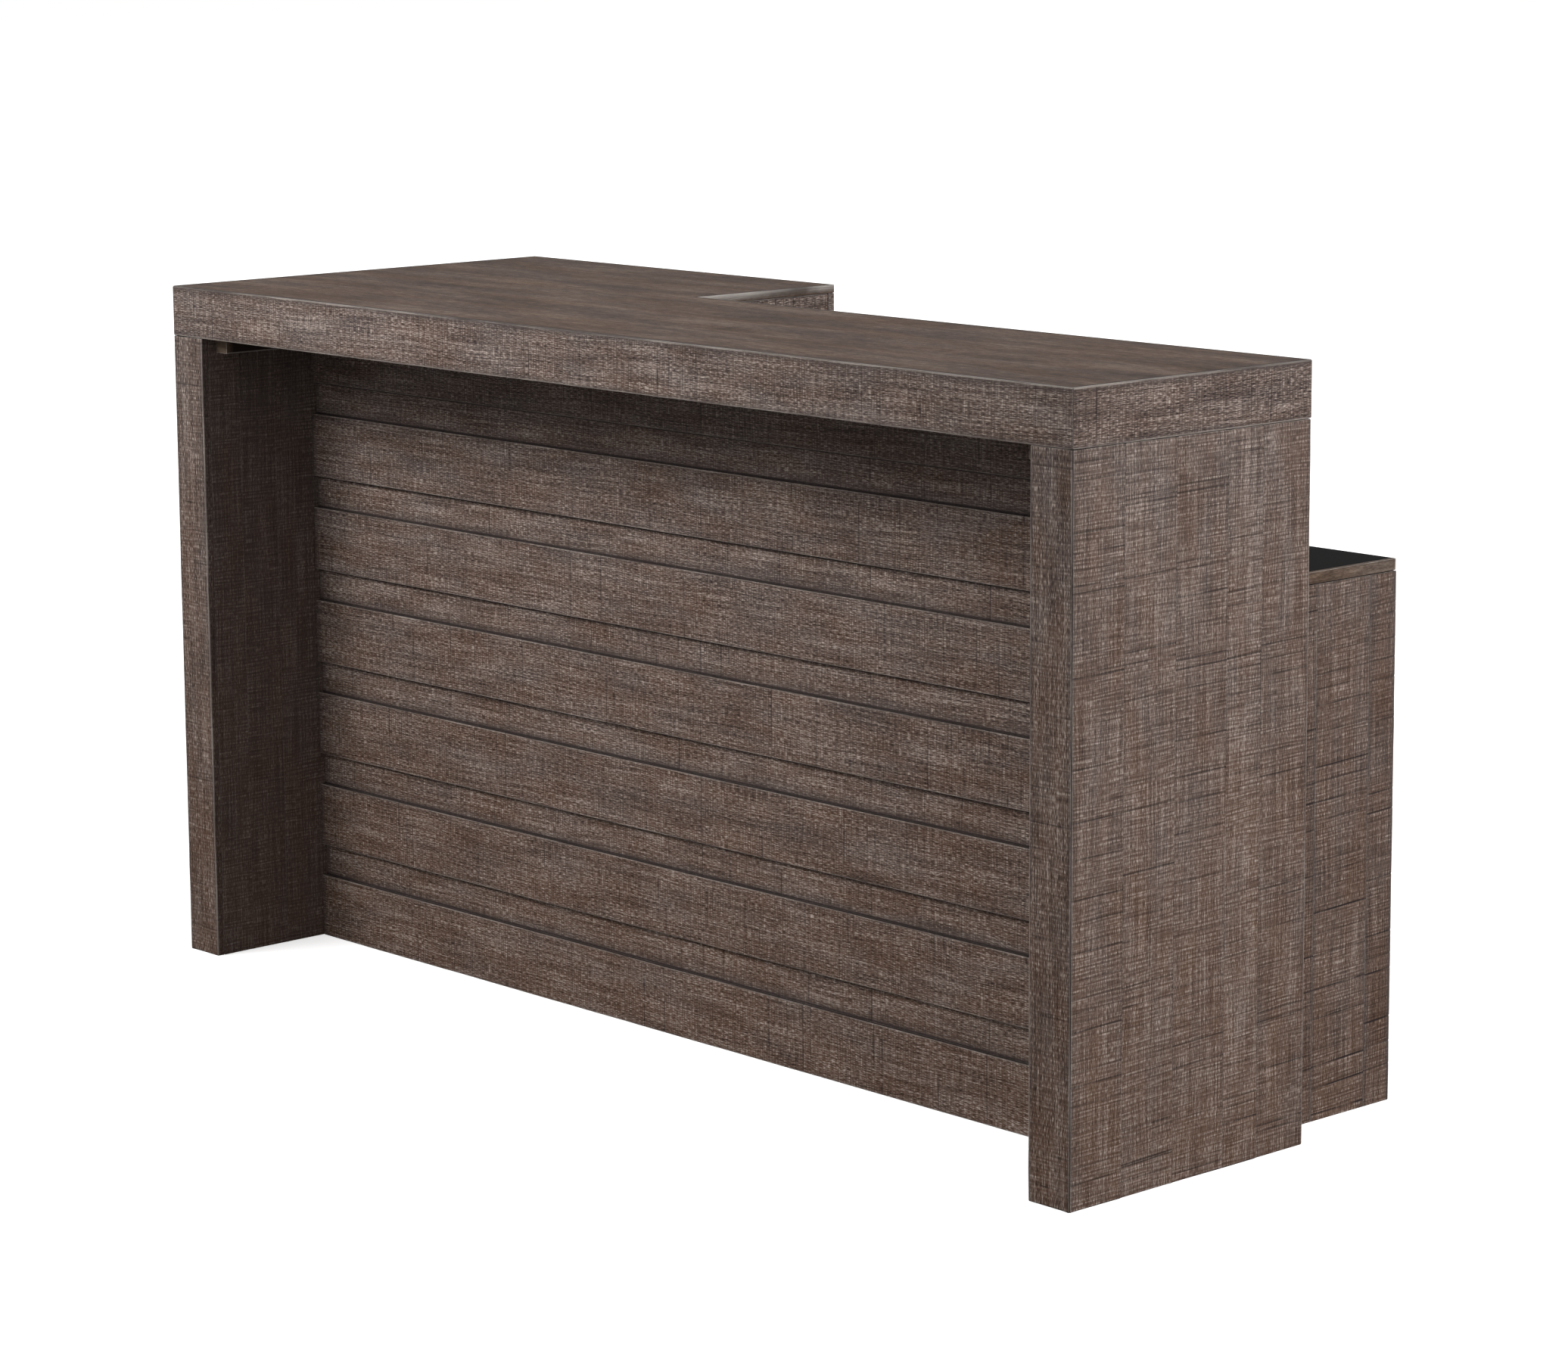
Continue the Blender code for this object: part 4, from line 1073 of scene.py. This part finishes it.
def add_end(side, look):
    """One thick end: staves from front to back, and a stile mitred into the first.

    The stile and the skin share one chamfer, which the mitre line halves.
    """
    panel, stile = f"{side}_end_panel", f"{side}_end_stile"
    low, high = box(panel)
    stile_low, stile_high = box(stile)
    left = side == "left"
    way = 1 if left else -1
    outside, inside = (low[X], high[X]) if left else (high[X], low[X])
    front, step, stop = stile_low[Y], stile_high[Y], box("front_backing")[0][Y]
    notch = look.corner_chamfer / 2 + GAP
    fold = (outside + way * notch, front + notch)
    heel = (outside + way * (step - front), step)

    def first(far):
        """The front stave: its outer face folds on a mitre behind the stile."""
        corners = [(outside, front + look.corner_chamfer), fold, heel, (inside, step + GAP),
                   (inside, far), (outside, far)]
        return handed(left, corners, [look.corner_radius, GAP, GAP, GAP, look.joint_radius,
                                      look.joint_radius])

    def plain(points):
        """1 on the outer face and 0 on the inner one, which was planed."""
        return np.clip(np.abs(points[:, 0] - inside) / FACE_DEPTH, 0, 1)

    def dark(rings):
        """Glaze and painted shade darken the knee space's inner face; glaze fills the mitre."""
        near = fade(np.abs(rings[..., X] - inside), FACE_DEPTH)
        away = np.hypot(rings[..., X] - fold[0], rings[..., Y] - fold[1])
        return np.maximum(KNEE_GLAZE_AND_SHADE * near * (rings[..., Y] < stop), away < 2 * GAP)
    shells = staves(panel, low, high, Y, look, look.joint_radius, first, sawn=plain, glaze=dark,
                    tone_range=0.7, end_radius=look.head_rounding)
    piece(panel + "_staves", shells, "ridged", panel)
    inner = stile_high[X] if left else stile_low[X]
    corners, radii = handed(
        left, [(outside + way * look.corner_chamfer, front), (inner, front), (inner, step), heel,
               fold], [look.corner_radius, look.arris_radius, GAP, GAP, GAP])
    shell = board(stile, corners, Z, stile_low[Z], stile_high[Z], look, radii=radii,
                  end_radius=look.head_rounding, glaze=dark)
    piece(stile + "_board", [shell], "rough", stile)


def add_ends(look):
    """Both thick ends."""
    add_end("left", look)
    add_end("right", look)


# Reach of the glaze on a plank's head ledge, the ledge's setback, and reach of the glaze and
# painted shade at its ends
LEDGE_REACH, LEDGE_BACK, PLANK_END = 0.0022, 0.0006, 0.012
# Range of the planks' tones, held darker than the aprons: painted shade under the top's overhang
PLANK_TONES_WITH_SHADE = (-1.0, -0.2)
# Mean distance between the saw cuts of the backing, and its ring step
BACKING_PITCH, BACKING_STEP = 0.05, 0.03
# Glaze and painted shade in a reveal: its share of the whole, how far past the plank's edge it
# still lies, its reach from there, and its value at the edge, for the painted shade above a
# ledge, the glaze and painted shade in the ledge's corner, and the painted shadow line under
# the next plank
SHADE, CORNER = (0.34, 0.001, 0.018, 1.0), (0.8, 0.001, 0.0020, 1.4)
SHADOW_LINE = (1.0, 0.002, 0.0018, 1.8)
# Reach of the painted shade below the backing's head, under the apron, and of the glaze and
# painted shade at its ends
HEAD_SHADE, END_SHADE = 0.07, 0.02
# Heights of extra points across the backing, from each plank's foot and from its head
FOOT_MARKS = (0.0004, -0.0014, -0.0032)
HEAD_MARKS = (-0.0004, 0.0008, 0.0028)
# Length of a batten's unstained front end, over which the stain sets in
BATTEN_END = 0.006


def from_ends(rings, low, high):
    """Distance along X to the nearer end of a piece."""
    return np.minimum(rings[..., X] - low[X], high[X] - rings[..., X])


def add_plank(node, look):
    """One plank of the front."""
    low, high = box(node)

    def pooled(rings):
        """Glaze lies on the ledge along the plank's head, and a little glaze and painted shade at
        its ends.
        """
        head = fade(high[Z] - rings[..., Z], LEDGE_REACH)
        return np.maximum(head * (rings[..., Y] > low[Y] + LEDGE_BACK),
                          0.4 * fade(from_ends(rings, low, high), PLANK_END))
    tone = np.random.default_rng(seed_of(node)).uniform(*PLANK_TONES_WITH_SHADE)
    shell = box_board(node, X, look, glaze=pooled, rim=0.2, radii=look.fine_radius, tone=tone)
    piece(node + "_board", [shell], "rough", node)


def add_backing(feet, heads, look):
    """The panel behind the planks, whose feet and heads are at the heights given."""
    low, high = box("front_backing")
    middle = (low[Y] + high[Y]) / 2

    def reveal_glaze_and_shade(rings):
        """Glaze and painted shade darken the reveals.

        Glaze is thickest in the corner above a ledge; painted shade fades upwards from it and to
        both ends beside the legs, darkens the head under the apron, and makes a thin painted
        shadow line just below the next plank.
        """
        above = rings[..., Z][..., None] - heads
        below = feet - rings[..., Z][..., None]
        pools = [share * ((away >= -past) * fade(away, reach, start)).max(-1)
                 for away, (share, past, reach, start) in ((above, SHADE), (above, CORNER),
                                                           (below, SHADOW_LINE))]
        pools.append(0.15 * fade(high[Z] - rings[..., Z], HEAD_SHADE))
        pools.append(0.4 * fade(from_ends(rings, low, high), END_SHADE))
        return np.max(pools, axis=0) * (rings[..., Y] < middle)
    marks = np.concatenate([feet + mark for mark in FOOT_MARKS]
                           + [heads + mark for mark in HEAD_MARKS])
    shell = box_board("front_backing", X, look, glaze=reveal_glaze_and_shade, ring_step=BACKING_STEP,
                      marks=marks, sawn=lambda p: (p[:, 0] < middle) * 1.0,
                      steps=[WHOLE, WHOLE, WHOLE, look.point_step], rim=0.0,
                      cuts=saw_cuts("front_backing_cuts", high[X] - low[X], BACKING_PITCH))
    piece("front_backing_board", [shell], "rough", "front_backing")


def add_cleat(node, look):
    """A batten behind the apron, stained but for its front end."""
    front = box(node)[0][Y]

    def stained(rings):
        """The stain sets in behind the front end."""
        return 0.95 * np.clip((rings[..., Y] - front) / BATTEN_END, 0, 1)
    shell = box_board(node, Y, look, rough=False, glaze=stained)
    piece(node + "_batten", [shell], "raw", node)


def add_front(look):
    """Planks over a backing, and the battens at both ends."""
    planks = sorted(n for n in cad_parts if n.startswith("front_plank_"))
    for node in planks:
        add_plank(node, look)
    add_backing(np.array([box(n)[0][Z] for n in planks]),
                np.array([box(n)[1][Z] for n in planks]), look)
    add_cleat("cleat_left", look)
    add_cleat("cleat_right", look)


# Rounding of the counter's edges, and of the lipping's outer corner
COUNTER_EASE, LIPPING_ROUND = 0.0004, 0.0040
# Distances between the lipping's points and between its rings
LIPPING_STEP, LIPPING_RINGS = 0.012, 0.004
# Widths of the three staves of the counter's end
END_STAVES = (0.091, 0.111, 0.056)


def add_counter(look):
    """The counter's board, its black surface, the lipping and the end panel of staves."""
    panel_low, panel_high = box("right_end_panel")
    step_x, step_y = panel_low[X] - GAP, panel_high[Y] + GAP
    ease = COUNTER_EASE
    for node, name, paint, slot in (
            ("counter_board", "counter_core", "inside", "smooth_wood"),
            ("counter_surface", "counter_laminate", "laminate", "black_surface")):
        low, high = box(node)
        levels = []
        for level, inset in ((low[Z], ease), (low[Z] + ease, 0.0), (high[Z] - ease, 0.0),
                             (high[Z] - 0.3 * ease, 0.3 * ease), (high[Z], ease),
                             (high[Z], 10 * ease)):
            left, front = low[X] + inset, low[Y] + inset
            right, back = high[X] - inset, high[Y] - inset
            corners = [(left, front), (step_x - inset, front), (step_x - inset, step_y + inset),
                       (right, step_y + inset), (right, back), (left, back)]
            levels.append((level, 0.0, 0.0, corners, GAP))
        piece(name, [slab(levels, COUNTER_STEP, high[Z])], paint, node, slot=slot)
    shell = box_board("counter_lipping", Z, look, rough=False, turned=True,
                      radii=[GAP, look.fine_radius, LIPPING_ROUND, GAP],
                      ring_step=LIPPING_RINGS, steps=LIPPING_STEP)
    piece("counter_lipping_edge", [shell], "edge", "counter_lipping")
    low, high = box("counter_end_panel")
    shells = staves("counter_end_panel", low, high, Y, look, 2.5 * look.joint_radius,
                    widths=END_STAVES, tilt_range=3.2, tone_mean=-1.7, paired=0.1, rim=0.6,
                    force=1.4)
    piece("counter_end_panel_staves", shells, "ridged", "counter_end_panel")


# The cabinets' straight boards, with the axis of their fibres
CABINET_BOARDS = {
    "toe_kick": X, "wing_bottom": X, "counter_bottom": X, "wing_cabinet_top": X,
    "wing_shelf": X, "wine_deck": X, "drawer_deck_1": X, "drawer_deck_2": X,
    "partition_wine": Z, "partition_middle": Z,
}
# Distance between points across a board inside the cabinets
INSIDE_STEP = 0.03
# A shelf pin's profile, in pin radii and pin lengths, and how far it is from a shelf's edge
PIN_PROFILE = np.array([(0.1, 0.0), (1.5, 0.0), (1.7, 0.08), (1.7, 0.2), (1.5, 0.28), (1.0, 0.3),
                        (1.0, 0.92), (0.85, 1.0), (0.1, 1.0)])
PIN_INSET = 0.06


def add_cabinet(look, sizes):
    """Boards inside the cabinets, with the fibres along the longer way, and shelf pins."""
    for node, axis in CABINET_BOARDS.items():
        shell = box_board(node, axis, look, rough=False, steps=INSIDE_STEP, ring_step=0.05)
        piece(node + "_panel", [shell], "inside", node)
    low, high = box("wing_side")
    toe_low, toe_high = box("toe_kick")
    notch_y, notch_z = toe_low[Y] - GAP, toe_high[Z] + GAP
    corners = [(low[Y], low[Z]), (notch_y, low[Z]), (notch_y, notch_z), (high[Y], notch_z),
               (high[Y], high[Z]), (low[Y], high[Z])]
    shell = board("wing_side", corners, X, low[X], high[X], look, rough=False,
                  steps=INSIDE_STEP, ring_step=0.005, turned=True)
    piece("wing_side_panel", [shell], "inside", "wing_side")
    low, high = box("wing_shelf")
    profile = PIN_PROFILE * (sizes.pin_radius, sizes.pin_length)
    pins = [turned_shape(profile * (1, way), (x, y, low[Z] - sizes.pin_radius), X)
            for x, way in ((low[X], 1), (high[X], -1))
            for y in (low[Y] + PIN_INSET, high[Y] - PIN_INSET)]
    piece("shelf_pins", [plain_shell(rings) for rings in pins], "zinc")


def add_doors(look):
    """Each door is three staves with a V between them."""
    for side in ("left", "right"):
        node = f"wing_door_{side}"
        shells = staves(node, *box(node), X, look, look.door_joint, widths=(1, 1, 1),
                        paired=0.0)
        piece(node + "_staves", shells, "rough", node, body=f"door_{side}")


def add_drawers(look, sizes):
    """Drawer fronts, and boxes of four walls round a thin bottom."""
    wall = (sizes.box_wall, sizes.box_wall, 0.0)
    for body in ("drawer_1", "drawer_2"):
        piece(body + "_front_board", [box_board(body + "_front", X, look)], "rough",
              body + "_front", body=body)
        low, high = box(body + "_box")
        near, far = low + wall, high - wall
        parts = {
            "side_left": (low, (near[X], high[Y], high[Z]), Y),
            "side_right": ((far[X], low[Y], low[Z]), high, Y),
            "back": ((near[X], low[Y], low[Z]), (far[X], near[Y], high[Z]), X),
            "inner_front": ((near[X], far[Y], low[Z]), (far[X], high[Y], high[Z]), X),
            "bottom": (near, (far[X], far[Y], low[Z] + sizes.box_floor), X),
        }
        shells = [board(f"{body}_{part}", rectangle(a, b, axis), axis, a[axis], b[axis], look,
                        rough=False, steps=INSIDE_STEP, ring_step=0.04)
                  for part, (a, b, axis) in parts.items()]
        piece(body + "_box_walls", shells, "inside", body + "_box", body=body)


# Points along a pull's post and half grip, and along a bend
POST_POINTS, BEND_POINTS = 14, 12
# Height over which the flare at a pull's foot falls to 1 / e
FLARE_REACH = 0.0016


def add_pulls(sizes):
    """Bent bars: two posts with spread feet that turn into a straight grip.

    Half the path is a straight post, a quarter circle and half the grip, and it is mirrored.
    The radius adds the flare times exp(-height / reach) at the feet.
    """
    radius, bend = sizes.pull_radius, sizes.pull_bend
    for node, body, along in (("wing_door_left_pull", "door_left", Z),
                              ("wing_door_right_pull", "door_right", Z),
                              ("drawer_1_pull", "drawer_1", X),
                              ("drawer_2_pull", "drawer_2", X)):
        low, high = box(node)
        centre = (low + high) / 2
        centre[Y] = low[Y]
        half = (high[along] - low[along]) / 2 - radius
        reach = high[Y] - low[Y] - radius
        post = np.linspace(0, 1, POST_POINTS)[:-1] ** 2 * (reach - bend)
        turn = np.linspace(0, math.pi / 2, BEND_POINTS)
        grip = np.linspace(half - bend, 0, POST_POINTS)[1:]
        side = np.concatenate([
            np.stack([np.full(len(post), half), post], 1),
            np.stack([half - bend + bend * np.cos(turn), reach - bend + bend * np.sin(turn)], 1),
            np.stack([grip, np.full(len(grip), reach)], 1)])
        path = np.concatenate([side, side[-2::-1] * (-1, 1)])
        radii = radius + sizes.foot_flare * np.exp(-path[:, 1] / FLARE_REACH)
        piece(node + "_bar", [tube(path, radii, centre, along)], "bronze", node, body=body)


# Thickness of a pivot's plate and of a rail's web, and the places of their screws
PLATE, PLATE_SCREWS = 0.0014, (0.5, 0.85)
WEB, WEB_SCREWS = 0.0013, (0.12, 0.5, 0.88)


def add_fittings(sizes):
    """Steel that keeps the frame's shape, with its screws, and the lattice and rack."""
    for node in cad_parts:
        if "_pivot" in node or "_rail_" in node or "_runner_" in node:
            repaint(node, "zinc")
    repaint("wine_lattice_rising", "rising")
    repaint("wine_lattice_falling", "falling")
    repaint("stemware_rack", "rack")
    plates, webs = [], []
    for side, way in (("left", 1), ("right", -1)):
        for end, up in (("foot", 1), ("head", -1)):
            low, high = box(f"wing_door_{side}_{end}_pivot")
            middle, face = (low + high) / 2, from_side(low[Z], high[Z], up, PLATE)
            plates += [screw((from_side(low[X], high[X], way, share * (high[X] - low[X])),
                              middle[Y], face), Z, up, sizes) for share in PLATE_SCREWS]
    for body in ("drawer_1", "drawer_2"):
        for side, way in (("left", 1), ("right", -1)):
            low, high = box(f"{body}_rail_{side}")
            middle, face = (low + high) / 2, from_side(low[X], high[X], way, WEB)
            webs += [screw((face, low[Y] + share * (high[Y] - low[Y]), middle[Z]), X, way,
                           sizes) for share in WEB_SCREWS]
    piece("pivot_screws", plates, "zinc")
    piece("rail_screws", webs, "zinc")


# Width of the floor, and its depth under the feet
FLOOR_WIDTH, FLOOR_DEPTH = 80.0, 0.0002


def add_floor():
    """A flat square of paper, just under the feet."""
    half = FLOOR_WIDTH / 2
    mesh = bpy.data.meshes.new("floor")
    corners = [(x, y, -FLOOR_DEPTH) for x, y in rectangle((-half, -half, 0), (half, half, 0), Z)]
    mesh.from_pydata(corners, [], [(0, 1, 2, 3)])
    mesh.materials.append(paper_material())
    obj = show("floor", mesh)


def seen_rays(tree):
    """1 for what the camera sees, directly, in a reflection or through glass."""
    path = add(tree, "LightPath").outputs
    seen = add(tree, "Math", (path["Is Camera Ray"], path["Is Glossy Ray"]),
               operation="MAXIMUM")
    return add(tree, "Math", (seen, path["Is Transmission Ray"]), operation="MAXIMUM")


# Distances from the bar's middle between which the paper's glow rises to full white
GLOW_NEAR, GLOW_FAR = 1.3, 3.2


def paper_material():
    """Matt white paper. The camera also sees it glow, up to full white where the light of the
    soft boxes ends, and it throws back a dimmer light on the bar."""
    paint, tree = new_material("white_paper_floor")
    least = bpy.context.scene.home_bar_stage.paper_glow
    place = add(tree, "TexCoord").outputs["Object"]
    away = add(tree, "VectorMath", (place,), operation="LENGTH").outputs["Value"]
    strength = add(tree, "MapRange", (away, GLOW_NEAR, GLOW_FAR, least, 1.0))
    lit = add(tree, "BsdfDiffuse", {"Color": rgba("#f2f2f2")})
    glow = add(tree, "Emission", {"Color": rgba("#ffffff"), "Strength": strength})
    bright = add(tree, "AddShader", (lit, glow))
    dull = add(tree, "BsdfDiffuse", {"Color": rgba("#6e6e6e")})
    both = add(tree, "MixShader", (seen_rays(tree), dull, bright))
    add(tree, "OutputMaterial", {"Surface": both})
    return paint


def soft_box(name, place, target, size, watts, spread=math.pi):
    """A rectangular lamp that faces a target. A grid narrows its spread."""
    lamp = bpy.data.lights.new(name, "AREA")
    lamp.shape = "RECTANGLE"
    lamp.size, lamp.size_y = size
    lamp.energy = watts
    lamp.spread = spread
    obj = show(name, lamp)
    obj.location = place
    obj.rotation_euler = (Vector(target) - Vector(place)).to_track_quat("-Z", "Y").to_euler()


def add_world(strength):
    """White for the camera and for reflections, a dim even grey for the object's light."""
    world = bpy.data.worlds.new("studio")
    world.use_nodes = True
    tree = world.node_tree
    tree.nodes.clear()
    room = add(tree, "Background", {"Color": rgba("#ffffff"), "Strength": strength})
    white = add(tree, "Background", {"Color": rgba("#ffffff"), "Strength": 1.0})
    both = add(tree, "MixShader", (seen_rays(tree), room, white))
    add(tree, "OutputWorld", {"Surface": both})
    bpy.context.scene.world = world


def add_camera(stage):
    """A camera at the photograph's viewing angle."""
    camera = bpy.data.cameras.new("camera")
    camera.sensor_width = SENSOR_WIDTH
    camera.lens = SENSOR_WIDTH * stage.focal_pixels / PHOTO_WIDTH
    camera.shift_y = stage.shift_pixels / PHOTO_WIDTH
    pan, tilt, roll = stage.pan, stage.tilt, stage.roll
    ahead = Vector((-math.sin(pan) * math.cos(tilt), math.cos(pan) * math.cos(tilt),
                    -math.sin(tilt)))
    level = Vector((math.cos(pan), math.sin(pan), 0.0))
    rise = level.cross(ahead)
    right = level * math.cos(roll) + rise * math.sin(roll)
    up = rise * math.cos(roll) - level * math.sin(roll)
    turn = Matrix((right, up, -ahead)).transposed().to_4x4()
    obj = show("camera", camera)
    obj.matrix_world = Matrix.Translation(stage.camera_place) @ turn
    bpy.context.scene.camera = obj


def add_stage(stage):
    """Floor, soft boxes, room light and camera."""
    add_floor()
    left, right = CAD_BOX[0][X], CAD_BOX[1][X]
    soft_box("front_soft_box", (left - 0.5, -2.9, 2.9), (left + 1.0, 0.0, 0.65), (1.6, 1.4),
             stage.front_power, stage.front_spread)
    soft_box("side_soft_box", (right + 3.0, 0.55, 2.2), (right, 0.1, 0.6), (1.5, 1.5),
             stage.side_power)
    soft_box("back_soft_box", (1.2, 3.6, 1.9), (0.0, 0.3, 0.5), (1.8, 1.5), stage.back_power)
    add_world(stage.room_strength)
    add_camera(stage)
    bpy.context.scene.view_settings.view_transform = "Standard"


class HOMEBAR_OT_stage(Operator):
    """Adds the floor, the light and the camera"""
    bl_idname = "home_bar.stage"
    bl_label = "Stage"

    def execute(self, context):
        add_stage(context.scene.home_bar_stage)
        return {"FINISHED"}


class HOMEBAR_OT_top(Operator):
    """Adds the planed top"""
    bl_idname = "home_bar.top"
    bl_label = "Top"

    def execute(self, context):
        add_lid(context.scene.home_bar_boards)
        return {"FINISHED"}


class HOMEBAR_OT_aprons(Operator):
    """Adds the aprons that hang round the top"""
    bl_idname = "home_bar.aprons"
    bl_label = "Aprons"

    def execute(self, context):
        add_aprons(context.scene.home_bar_boards)
        return {"FINISHED"}


class HOMEBAR_OT_ends(Operator):
    """Adds the staved end panels and their stiles"""
    bl_idname = "home_bar.ends"
    bl_label = "End panels"

    def execute(self, context):
        add_ends(context.scene.home_bar_boards)
        return {"FINISHED"}


class HOMEBAR_OT_front(Operator):
    """Adds the planked front, its backing and the battens"""
    bl_idname = "home_bar.front"
    bl_label = "Planked front"

    def execute(self, context):
        add_front(context.scene.home_bar_boards)
        return {"FINISHED"}


class HOMEBAR_OT_counter(Operator):
    """Adds the lower counter and its end panel"""
    bl_idname = "home_bar.counter"
    bl_label = "Counter"

    def execute(self, context):
        add_counter(context.scene.home_bar_boards)
        return {"FINISHED"}


class HOMEBAR_OT_cabinet(Operator):
    """Adds the boards inside the cabinets and the shelf pins"""
    bl_idname = "home_bar.cabinet"
    bl_label = "Cabinet boards"

    def execute(self, context):
        add_cabinet(context.scene.home_bar_boards, context.scene.home_bar_fittings)
        return {"FINISHED"}


class HOMEBAR_OT_doors(Operator):
    """Adds the pair of staved doors"""
    bl_idname = "home_bar.doors"
    bl_label = "Doors"

    def execute(self, context):
        add_doors(context.scene.home_bar_boards)
        return {"FINISHED"}


class HOMEBAR_OT_drawers(Operator):
    """Adds the drawer fronts and boxes"""
    bl_idname = "home_bar.drawers"
    bl_label = "Drawers"

    def execute(self, context):
        add_drawers(context.scene.home_bar_boards, context.scene.home_bar_fittings)
        return {"FINISHED"}


class HOMEBAR_OT_pulls(Operator):
    """Adds the bent bar pulls"""
    bl_idname = "home_bar.pulls"
    bl_label = "Pulls"

    def execute(self, context):
        add_pulls(context.scene.home_bar_fittings)
        return {"FINISHED"}


class HOMEBAR_OT_fittings(Operator):
    """Finishes the steel fittings, the lattice and the rack, and adds screws"""
    bl_idname = "home_bar.fittings"
    bl_label = "Fittings"

    def execute(self, context):
        add_fittings(context.scene.home_bar_fittings)
        return {"FINISHED"}


OPERATORS = (HOMEBAR_OT_stage, HOMEBAR_OT_top, HOMEBAR_OT_aprons, HOMEBAR_OT_ends,
             HOMEBAR_OT_front, HOMEBAR_OT_counter, HOMEBAR_OT_cabinet, HOMEBAR_OT_doors,
             HOMEBAR_OT_drawers, HOMEBAR_OT_pulls, HOMEBAR_OT_fittings)
SETTINGS = {"home_bar_boards": HomeBarBoards, "home_bar_fittings": HomeBarFittings,
            "home_bar_wood": HomeBarWood, "home_bar_stage": HomeBarStage}


class HOMEBAR_PT_panel(Panel):
    """Lists the operators and their settings"""
    bl_idname = "HOMEBAR_PT_panel"
    bl_label = "Home bar"
    bl_space_type = "VIEW_3D"
    bl_region_type = "UI"
    bl_category = "Home bar"

    def draw(self, context):
        for operator in OPERATORS:
            self.layout.operator(operator.bl_idname)
        for name in SETTINGS:
            group = getattr(context.scene, name)
            column = self.layout.column()
            for key in group.bl_rna.properties.keys():
                if key not in ("rna_type", "name"):
                    column.prop(group, key)


def register():
    for name, group in SETTINGS.items():
        bpy.utils.register_class(group)
        setattr(bpy.types.Scene, name, PointerProperty(type=group))
    for cls in (*OPERATORS, HOMEBAR_PT_panel):
        bpy.utils.register_class(cls)


def unregister():
    for cls in (HOMEBAR_PT_panel, *reversed(OPERATORS)):
        bpy.utils.unregister_class(cls)
    for name, group in SETTINGS.items():
        delattr(bpy.types.Scene, name)
        bpy.utils.unregister_class(group)


def main():
    """Runs every operator in order."""
    register()
    bpy.ops.home_bar.stage()
    bpy.ops.home_bar.top()
    bpy.ops.home_bar.aprons()
    bpy.ops.home_bar.ends()
    bpy.ops.home_bar.front()
    bpy.ops.home_bar.counter()
    bpy.ops.home_bar.cabinet()
    bpy.ops.home_bar.doors()
    bpy.ops.home_bar.drawers()
    bpy.ops.home_bar.pulls()
    bpy.ops.home_bar.fittings()


if __name__ == "__main__":
    main()
